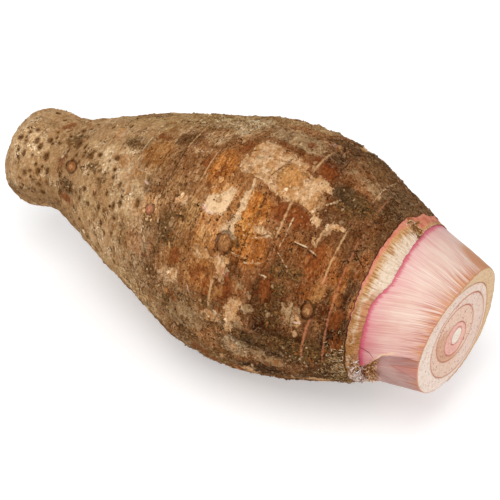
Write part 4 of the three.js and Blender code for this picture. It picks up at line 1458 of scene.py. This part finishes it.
def build_collar():
    degrees = evenly_round(COLLAR_COLUMNS)
    rays = outward_at(degrees)
    edge = np.interp(degrees, skin.angles, skin.edge, period=360)
    radius = np.interp(degrees, skin.angles, skin_edge_radius, period=360)[:, None]
    ring = stub.point(degrees, np.full(COLLAR_COLUMNS, LOW_STATION))
    top = collar_top_at(degrees) + 0.4 * noise(ring, 2.2, 101) + 0.3 * noise(ring, 6, 102)
    low, high = axis_at(edge + 0.5) + rays * (radius - 0.5), stub.point(degrees, top, 0.8)
    upper = bell(turned(degrees + 42), 20)
    rows = [axis_at(edge + 0.6) + rays * (radius - 1.3)]
    for share in np.linspace(0, 1, COLLAR_ROWS):
        point = low + (high - low) * share
        station = point[:, 0] - STATION_ZERO
        cream_part = smoothstep(station - along(PINK_BAND, degrees), -0.2, 0.5)
        comb = 0.26 * noise(point, (7, 0.9), 103) + 0.2 * noise(point, (2.5, 0.7), 104)
        seam = np.exp(-(turned(degrees - along(SEAM, station)) * 0.7) ** 2)
        torn = smoothstep(-reach_in(TUFT, station, degrees), -1.1, -0.5)
        lift = (0.55 - 1.5 * upper) * math.sin(math.pi * share) + cream_part * (comb - 0.25)
        lift += 0.09 * noise(point, 1.5, 105) - 0.9 * seam * math.sin(math.pi * min(1, share * 1.2))
        lift -= 1.5 * (1 - smoothstep(reach_in(HOLE, station, degrees), 0.4, 1.3))
        lift += torn * (0.8 + 0.9 * noise(point, (3.5, 1.8), 106)) * min(1, 0.5 + 3 * share)
        rows.append(point + rays * lift[:, None])
    foot = np.full(COLLAR_COLUMNS, CROWN_STATION + 0.2)
    under_stub = ((top + 0.1, 0.5), (top - 0.1, 0.22), (foot, 0.22))
    hidden = [stub.point(degrees, *given) for given in under_stub]
    hidden += [axis_at(station) + rays * (CROWN_RADIUS + 0.3) for station in (foot, edge + 0.6)]
    points, count = np.concatenate(rows + hidden), len(rows + hidden)
    station, around = points[:, 0] - STATION_ZERO, np.tile(degrees, count)
    from_skin = station - np.tile(edge, count)
    near_skin, nearer_skin = 1 - smoothstep(from_skin, 1.5, 4.5), 1 - smoothstep(from_skin, 0.8, 2.4)
    stain = 0.7 * band(around, 38, 56, 100, 112) * near_skin + band(around, 56, 76, 100, 112)
    fields = {
        "in_pink": np.clip(along(PINK_BAND, around) - station, -12, 6),
        "below_top": np.clip(np.tile(top, count) - station, -1, 10),
        "brown_share": band(around, 36, 54, 96, 106),
        "magenta": smoothstep(around, 50, 72),
        "stain": stain + band(around, 88, 98, 118, 130) * nearer_skin,
        "edge_pink": band(around, 14, 34, 74, 82),
        "from_skin": from_skin,
        "seam": np.exp(-(turned(around - along(SEAM, station)) * 0.5) ** 2),
        "hole": 1.5 - reach_in(HOLE, station, around),
        "tuft": 1 - reach_in(TUFT, station, around),
    }
    new_piece(
        "collar_fibres", points, tube_faces(count, COLLAR_COLUMNS, looped=True), collar_material(),
        "cut_leaf_base", ["leaf_base_collar"], fields, {"straight": unrolled(points, around) * MM},
    )
    return np.array(rows)


def collar_material():
    s = Shader("cut_leaf_bases", 0.8, place="straight", Specular_IOR_Level=0.15)
    comb = s.noise((7, 0.7), 1, 3, 0.65)
    crumb = s.noise((1.3, 0.7), 2, 5, 0.7)
    patchy = s.noise((3, 5), 3, 4, 0.6)
    in_pink = s.field("in_pink") + (comb - 0.5) * 5.0
    whiteness = s.step(in_pink + patchy * 6.0, 3.2, -2.2)
    teeth = s.step(comb, 0.49, 0.56)
    brown = s.step(s.field("below_top") + (patchy - 0.5) * 4.0, 3.0, 1.7) * s.field("brown_share")
    stain = s.field("stain")
    rim = s.step(s.field("from_skin") + comb * 1.6, 1.7, 1.1)
    tuft = s.step(s.field("tuft") + (patchy - 0.5) * 1.6, 0.05, 0.35)
    torn = s.mix(s.mix("c9a898", "e6cfc4", s.step(comb, 0.42, 0.52)), "8a5a3a", s.step(crumb, 0.59, 0.66))
    pink = s.over(
        "d28468",
        ("c46a50", s.step(patchy, 0.4, 0.6)),
        ("cd6a86", s.field("magenta") * 0.75),
        ("e2aa8c", teeth * 0.3),
        ("b0583f", s.step(crumb, 0.54, 0.64) * 0.5),
    )
    colour = s.over(
        "c8965f",
        ("e1cbb3", whiteness),
        ("eedece", s.step(crumb, 0.44, 0.34) * whiteness),
        ("9a6630", teeth * (0.85 - whiteness * 0.6)),
        ("a9743f", s.step(crumb, 0.55, 0.63) * 0.6),
        (s.mix("bd7a48", "96592c", teeth), brown * 0.85),
        (s.mix("ae7a46", "7e4e24", s.step(crumb, 0.42, 0.6)), stain * s.step(patchy, 0.6, 0.42, 0.25, 0.85)),
        (pink, s.step(in_pink, -0.35, 0.35)),
        ("cc5f7c", rim * (s.field("edge_pink") * 0.6 + 0.25)),
        (torn, tuft * (1.0 - stain * 0.8)),
        ("3a2012", s.step(s.field("hole"), 0.1, 0.8)),
        (s.mix("8a5526", "5e3818", s.step(crumb, 0.45, 0.6)), s.field("seam") * 0.9),
    )
    return s.finish(colour, comb * 0.8 + crumb * 0.6, depth=0.5, strength=1.0)


collar_rows = build_collar()

# ---- Loose bark, threads and crumbs ----

class Surface:
    """A grid of points that can be walked over in millimetres. Its columns join up."""

    def __init__(self, points, normals=None):
        self.points = points
        self.normals = grid_normals(points) if normals is None else normals
        self.columns = points.shape[1]
        self.row_step = np.linalg.norm(np.gradient(points, axis=0), axis=-1)
        self.column_step = np.linalg.norm(np.roll(points, -1, 1) - np.roll(points, 1, 1), axis=-1) / 2

    def read(self, values, row, column):
        """Values of the grid between its rows and columns."""
        row = np.clip(row, 0, len(values) - 1.001)
        r, c = np.floor(row).astype(int), np.floor(column).astype(int)
        down, right = row - r, column - c
        if values.ndim > 2:
            down, right = down[..., None], right[..., None]
        c, beside = c % self.columns, (c + 1) % self.columns
        upper = values[r, c] * (1 - right) + values[r, beside] * right
        lower = values[r + 1, c] * (1 - right) + values[r + 1, beside] * right
        return upper * (1 - down) + lower * down

    def scatter(self, count, density, rng):
        """Rows and columns of seeded places, as thick as the density says."""
        weight = np.maximum(density, 0) * self.row_step * self.column_step
        weight[:8] = 0
        weight[-2:] = 0
        found = rng.choice(weight.size, count, p=weight.ravel() / weight.sum())
        row, column = np.divmod(found, self.columns)
        return row + rng.uniform(0, 1, count), column + rng.uniform(0, 1, count)

    def place(self, row, column, down, across, height):
        """Points at offsets in millimetres from rows and columns, and the normals there."""
        row, column = row[:, None], column[:, None]
        row_step = np.maximum(self.read(self.row_step, row, column), 0.05)
        column_step = np.maximum(self.read(self.column_step, row, column), 0.05)
        row, column = row + down / row_step, column + across / column_step
        normals = self.read(self.normals, row, column)
        return self.read(self.points, row, column) + normals * height[..., None], normals


def unit(vectors):
    return vectors / np.maximum(np.linalg.norm(vectors, axis=-1, keepdims=True), 1e-9)


def tubes(centres, normals, radii):
    """Three-sided threads through rows of centres, as points and faces."""
    count, steps = centres.shape[:2]
    tangents = np.gradient(centres, axis=1)
    sides = unit(np.cross(normals, tangents))
    ups = unit(np.cross(tangents, sides))
    turns = [0.5 + k * math.pi / 3 for k in (0, 2, 4)]
    corners = [centres + radii[..., None] * (math.cos(a) * sides + math.sin(a) * ups) for a in turns]
    points = np.stack(corners, 2)
    one = tube_faces(steps, 3) + [[0, 2, 1], [3 * steps - 3, 3 * steps - 2, 3 * steps - 1]]
    return points.reshape(-1, 3), repeated_faces(one, 3 * steps, count)


THREAD_STEPS = 7


def strands(surface, row, column, rng, length, radius, curl, lift, heading=0.0, spread=math.pi):
    """Curling threads that lie on a surface."""
    count = len(row)
    lengths = rng.uniform(*length, count)[:, None]
    turns = (heading + rng.uniform(-spread, spread, count))[:, None]
    turns = turns + np.cumsum(rng.normal(0, curl, (count, THREAD_STEPS)), axis=1)
    down = np.cumsum(np.cos(turns), axis=1) * lengths / THREAD_STEPS
    across = np.cumsum(np.sin(turns), axis=1) * lengths / THREAD_STEPS
    share = np.linspace(0, 1, THREAD_STEPS)
    radii = rng.uniform(*radius, count)[:, None] * (1 - 0.5 * share) * np.where(share % 1 == 0, 0.35, 1)
    lifts = rng.uniform(*lift, count)[:, None]
    height = radii * 0.5 + np.maximum(lifts, 0) * np.sin(share * rng.uniform(1.6, 3.1, count)[:, None]) ** 2
    centres, normals = surface.place(row, column, down, across, height)
    return tubes(centres, normals, radii)


PLATE_SIDES = 9


def plates(surface, row, column, rng, size, rise, lift):
    """Thin plates with irregular rims that lie on a surface, each with one side lifted."""
    count, n = len(row), PLATE_SIDES
    turn = np.arange(n) * 2 * math.pi / n + rng.uniform(0, 6, (count, 1))
    reach = size[:, None] * (1 + 0.45 * rng.normal(0, 1, (count, n)).clip(-1.5, 1.5))
    down, across = 0.8 * reach * np.cos(turn), 1.2 * reach * np.sin(turn)
    low = rng.uniform(*rise, (count, 1))
    most = rng.uniform(0, lift, (count, 1))
    lifted = most * np.maximum(0, np.cos(turn - rng.uniform(0, 6, (count, 1)))) ** 2
    middle = np.zeros((count, 1))
    rings = [  # offsets down and across, and height
        (middle, middle, low), (0.6 * down, 0.6 * across, low + 0.4 * lifted), (down, across, low + lifted),
        (down, across, 0.6 * low + lifted - 0.14), (middle, middle, middle - 0.3),
    ]
    points = np.concatenate([surface.place(row, column, *ring)[0] for ring in rings], axis=1)
    each = points.shape[1]
    one = fan_faces(0, 1, n)
    for ring in (1, 1 + n):
        one += [[ring + k, ring + n + k, ring + n + (k + 1) % n, ring + (k + 1) % n] for k in range(n)]
    one += fan_faces(each - 1, 1 + 2 * n, n, flipped=True)
    return points.reshape(-1, 3), repeated_faces(one, each, count)


def picked_colours(rng, palette, count, repeat):
    """A colour for each thing, from a palette of (share, colour), with its own brightness."""
    shares = np.array([share for share, _ in palette])
    tones = np.array([linear(colour) for _, colour in palette])
    picked = tones[rng.choice(len(palette), count, p=shares / shares.sum())]
    return np.repeat(picked * rng.uniform(0.75, 1.25, (count, 1)), repeat, axis=0)


def loose_piece(name, points, faces, material, slot, colours):
    """A piece of loose bits, each of one colour but for a fine grain."""
    s = Shader(material, 0.95, Specular_IOR_Level=0.12)
    grain = s.noise((0.9, 1.2), 1, 4, 0.7)
    colour = s.dim(s.field("ground", "Color"), s.step(grain, 0.36, 0.64, 0.62, 1.35))
    made = s.finish(colour, grain, depth=0.3, strength=0.8)
    new_piece(name, points, faces, made, slot, colours={"ground": colours})


skin_surface = Surface(skin_points, skin_normals)
top_band = smoothstep(-turned(skin.angle), 6, 16) * (np.abs(skin.angle) < 100)
low_band = band(skin.angle, 66, 80, 150, 170)
far_side = np.clip(1 - top_band - low_band, 0, 1) * (np.abs(turned(skin.angle - 215)) < 95)
on_belly = smoothstep(skin.station, 84, 104)
clear_side = (skin.station > 165) & (skin.angle > 20) & (skin.angle < 94)
in_cream = smoothstep(cream, -0.6, 0.4)[..., None]
seen_ground = ground * (1 - in_cream) + np.array(linear("d9b083")) * in_cream


def thinned(density, *places_and_shares):
    """A density that is less by a share in each of some places."""
    for where, share in places_and_shares:
        density = density * np.where(where, share, 1)
    return density


def like_ground(rng, row, column, tones, share):
    """Colours partly of their own and partly the skin's own there, lighter or darker."""
    factor = rng.uniform(0.45, 1.75, (len(row), 1)) ** np.array(TINT_POWERS)
    local = skin_surface.read(seen_ground, row, column) * factor
    return np.repeat(local, len(tones) // len(row), axis=0) * (1 - share) + tones * share


def build_flakes(count, seed):
    """Thin plates of bark that lie on the skin with their edges a little up."""
    rng = np.random.default_rng(seed)
    near_patch = bell(cream, 1.2) + 0.5 * bell(papery, 2) * on_belly
    density = 0.3 + 1.0 * near_patch + 0.6 * bell(ring_distance, 1.5) * on_belly
    density = density + 0.7 * low_band + 0.6 * top_band + 0.6 * (soil > 0)
    density = thinned(
        density, (skin.station < 84, 0.45), (skin.station > 195, 0.5), (cream > 0.5, 0.35),
        (clear_side, 0.45))
    row, column = skin_surface.scatter(count, density, rng)
    size = 0.4 + 1.1 * rng.uniform(0, 1, count) ** 2.2
    points, faces = plates(skin_surface, row, column, rng, size, (0.08, 0.24), 0.5)
    palette = [(5, "d0a878"), (3, "9c6f42"), (3, "5e3c20"), (1, "b9743a")]
    colours = like_ground(rng, row, column, picked_colours(rng, palette, count, len(points) // count), 0.35)
    loose_piece("bark_flakes", points, faces, "flaking_bark", "skin", colours)


def build_threads(count, seed):
    """Fine rootlets and bark fibres, mostly lying on the skin."""
    rng = np.random.default_rng(seed)
    clumps = smoothstep(noise(places, (12, 14), 121), -0.1, 0.6)
    density = 0.2 + 0.7 * top_band + 0.7 * low_band + 0.5 * (soil > -1) + 0.5 * far_side + 0.5 * (papery > 0)
    density = thinned(density * (0.3 + clumps), (skin.station < 84, 0.3), (clear_side, 0.3))
    row, column = skin_surface.scatter(count, density, rng)
    points, faces = strands(skin_surface, row, column, rng, (0.9, 3.6), (0.09, 0.2), 0.6, (-0.7, 0.45))
    palette = [(4, "dcbd92"), (3, "b48c5e"), (2, "6e4827"), (1, "3f2814")]
    colours = like_ground(rng, row, column, picked_colours(rng, palette, count, len(points) // count), 0.4)
    loose_piece("bark_threads", points, faces, "bark_fibre", "skin", colours)


def lump_shape():
    """The corners and faces of a regular solid with twenty faces."""
    golden = (1 + math.sqrt(5)) / 2
    corners = np.array([[0, a, b * golden] for a in (-1, 1) for b in (-1, 1)])
    corners = unit(np.concatenate([np.roll(corners, k, 1) for k in range(3)]))
    faces = []
    for i, j, k in itertools.combinations(range(12), 3):
        a, b, c = corners[[i, j, k]]
        if max(np.linalg.norm(a - b), np.linalg.norm(b - c), np.linalg.norm(c - a)) < 1.2:
            faces.append([i, j, k] if np.dot(np.cross(b - a, c - a), a) > 0 else [i, k, j])
    return corners, faces


def build_crumbs(count, seed):
    """Crumbs of soil and bark that stick to the skin."""
    rng = np.random.default_rng(seed)
    corners, lump_faces = lump_shape()
    clumps = smoothstep(noise(places, 7, 122), 0.0, 0.5)
    density = 0.12 + 1.6 * smoothstep(soil, -1, 1) + 0.5 * top_band * clumps + 0.6 * low_band * on_belly
    density = thinned(density + 0.5 * far_side * clumps, (skin.station < 60, 0.4), (clear_side, 0.6))
    row, column = skin_surface.scatter(count, density, rng)
    size = (0.16 + 0.5 * rng.uniform(0, 1, count) ** 3)[:, None]
    centres = skin_surface.place(row, column, 0 * size, 0 * size, 0.25 * size)[0]
    lumps = corners[None] * rng.uniform(0.7, 1.3, (count, 12, 1)) * rng.uniform(0.7, 1.3, (count, 1, 3))
    points = (centres + lumps * size[..., None]).reshape(-1, 3)
    palette = [(4, "3a2613"), (3, "6b4a2a"), (2, "a8835a"), (1, "cdb08a")]
    colours = like_ground(rng, row, column, picked_colours(rng, palette, count, 12), 0.6)
    loose_piece("soil_crumbs", points, repeated_faces(lump_faces, 12, count), "soil", "skin", colours)


def build_torn_fibres(seed):
    """Fibres torn loose at the collar's lower side, its seam and the outer stalk's margin."""
    rng = np.random.default_rng(seed)
    collar = Surface(collar_rows)
    station = collar.points[..., 0] - STATION_ZERO
    around = np.broadcast_to(evenly_round(COLLAR_COLUMNS), station.shape)
    degrees = np.arange(-180.0, 180.0, 1.0)
    stations = np.arange(214.0, 240.0, 0.5)
    stub_surface = Surface(np.array([stub.point(degrees, np.full(len(degrees), at), 0.1) for at in stations]))
    stub_station = np.broadcast_to(stations[:, None], (len(stations), len(degrees)))
    in_seam = bell(turned(around - along(SEAM, station)), 2.2) * (station > 209.5)
    margin = bell(turned(degrees - along(NEAR_MARGIN, stub_station) - 0.5), 0.9)
    margin = margin * (stub_station > 215.5) * (1 - smoothstep(stub_station, 221, 225))

    def on_collar(*oval):
        return bell(reach_in(oval, station, around), 1)

    # Surface, density, count, lengths, radii, curl, lifts, heading, spread and colours of each group.
    groups = [
        (collar, on_collar(211.5, 113, 3.6, 12), 170, (2, 6.5), (0.14, 0.36), 0.3, (-0.35, 1.2), 0.0, 0.9,
         [(4, "e0c9bd"), (4, "f0e0d6"), (2, "c0a090"), (1, "9a7a60")]),
        (stub_surface, bell(reach_in((217.2, 106, 2.6, 6.5), stub_station, degrees), 1), 190,
         (2, 5.5), (0.14, 0.34), 0.4, (-0.2, 1.3), 0.9, 1.2,
         [(4, "c08a58"), (2, "8f5c30"), (3, "e0b794"), (1, "5a3518")]),
        (collar, on_collar(214, 101, 3.5, 8), 130, (1.5, 5), (0.12, 0.26), 0.6, (-0.3, 1.0), 0.0, 1.5,
         [(3, "a0683c"), (3, "c08c5c"), (1, "5c381c"), (2, "e2c4a4")]),
        (skin_surface, bell(reach_in((207.5, 101, 1.4, 13), skin.station, skin.angle), 1), 150,
         (3, 7.5), (0.12, 0.3), 0.25, (-0.2, 0.9), 0.0, 0.7,
         [(4, "8f6a3e"), (3, "b8915c"), (2, "5e3f20"), (1, "e0c8a8")]),
        (skin_surface, bell(reach_in((205, 103, 4, 15), skin.station, skin.angle), 1), 240,
         (1.5, 5), (0.1, 0.25), 0.6, (-0.4, 0.9), 0.0, 1.8,
         [(3, "9a7448"), (3, "c4a274"), (2, "5e3d20"), (1, "dcc09c")]),
        (collar, in_seam, 170, (1, 4), (0.11, 0.26), 0.45, (-0.3, 0.9), 0.0, 0.9,
         [(3, "d8b68a"), (3, "a0662f"), (2, "6e421c"), (2, "c98a4e")]),
        (stub_surface, margin, 70, (1, 3), (0.08, 0.2), 0.5, (-0.3, 0.5), -0.5, 0.8,
         [(3, "c08a50"), (2, "8a5a2a"), (2, "e2b97c")]),
    ]
    points, faces, colours = [], [], []

    def add(made, palette, count):
        faces.extend(moved_faces(made[1], sum(map(len, points))))
        points.append(made[0])
        colours.append(picked_colours(rng, palette, count, len(made[0]) // count))

    for surface, density, count, *manner, palette in groups:
        row, column = surface.scatter(count, density, rng)
        add(strands(surface, row, column, rng, *manner), palette, count)
    count = 16
    row, column = collar.scatter(count, on_collar(211.8, -10, 1.6, 3.5), rng)
    made = plates(collar, row, column, rng, rng.uniform(0.6, 1.5, count), (0.1, 0.4), 0.9)
    add(made, [(2, "6b3f1e"), (2, "c59a6c"), (1, "d8a898")], count)
    loose_piece(
        "torn_fibres", np.concatenate(points), faces, "torn_fibre", "cut_leaf_base", np.concatenate(colours))


build_flakes(2000, 131)
build_threads(3400, 132)
build_crumbs(3600, 133)
build_torn_fibres(134)

# ---- Floor, light and camera ----

FLOOR_HALF = 6.0  # metres
WORLD_LEVEL = 0.62
# Softboxes: name, place in metres, side in metres, power in watts.
LAMPS = [("key", (0.1, -0.5, 1.35), 0.8, 8.5), ("fill", (1.0, -0.6, 0.5), 1.0, 4.5)]
CAMERA_AZIMUTH, CAMERA_ELEVATION = 31, 44  # degrees
CAMERA_DISTANCE = 0.95
CAMERA_AIM = Vector((0.0110, -0.0027, 0.0522))
CAMERA_LENS = 143.5


def placed(name, data, place, facing):
    """A lamp or camera at a place, looking one way."""
    made = bpy.data.objects.new(name, data)
    made.location = place
    made.rotation_mode = "QUATERNION"
    made.rotation_quaternion = facing.to_track_quat("-Z", "Y")
    bpy.context.scene.collection.objects.link(made)
    return made


def build_stage():
    mesh = bpy.data.meshes.new("floor")
    corners = [(x * FLOOR_HALF, y * FLOOR_HALF, 0) for x, y in ((-1, -1), (1, -1), (1, 1), (-1, 1))]
    mesh.from_pydata(corners, [], [(0, 1, 2, 3)])
    floor = bpy.data.objects.new("floor", mesh)
    bpy.context.scene.collection.objects.link(floor)
    floor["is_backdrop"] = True
    s = Shader("floor_paper", 0.9, Specular_IOR_Level=0.1)
    s.plug(s.surface["Base Color"], s.mix("ececec", "efefef", s.noise(900, 1, 2)))
    s.surface["Emission Color"].default_value = (1, 1, 1, 1)
    s.plug(s.surface["Emission Strength"], s.node("LightPath", output="Is Camera Ray") * 0.3)
    mesh.materials.append(s.material)


def build_world():
    world = bpy.data.worlds.new("studio")
    bpy.context.scene.world = world
    world.use_nodes = True
    tree = world.node_tree
    background = tree.nodes["Background"]
    background.inputs["Color"].default_value = (1, 1, 1, 1)
    path = tree.nodes.new("ShaderNodeLightPath")
    seen = tree.nodes.new("ShaderNodeMath")
    seen.operation = "MULTIPLY_ADD"
    seen.inputs[1].default_value = 1 - WORLD_LEVEL
    seen.inputs[2].default_value = WORLD_LEVEL
    tree.links.new(path.outputs["Is Camera Ray"], seen.inputs[0])
    tree.links.new(seen.outputs[0], background.inputs["Strength"])


def build_lamps():
    for name, place, side, power in LAMPS:
        data = bpy.data.lights.new(name, "AREA")
        data.shape, data.size, data.energy = "SQUARE", side, power
        placed(name, data, place, Vector((0, 0, 0.05)) - Vector(place))


def build_camera():
    azimuth, elevation = CAMERA_AZIMUTH * DEG, CAMERA_ELEVATION * DEG
    level = math.cos(elevation)
    back = Vector((math.sin(azimuth) * level, -math.cos(azimuth) * level, math.sin(elevation)))
    data = bpy.data.cameras.new("camera")
    data.lens, data.sensor_width = CAMERA_LENS, 36
    data.clip_start, data.clip_end = 0.05, 40
    bpy.context.scene.camera = placed("camera", data, CAMERA_AIM + back * CAMERA_DISTANCE, -back)


build_stage()
build_world()
build_lamps()
build_camera()
bpy.context.scene.view_settings.view_transform = "Standard"

boxes = {"cad": cad_bounds, "visual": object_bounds()}
{name: [list(corner) for corner in box] for name, box in boxes.items()}
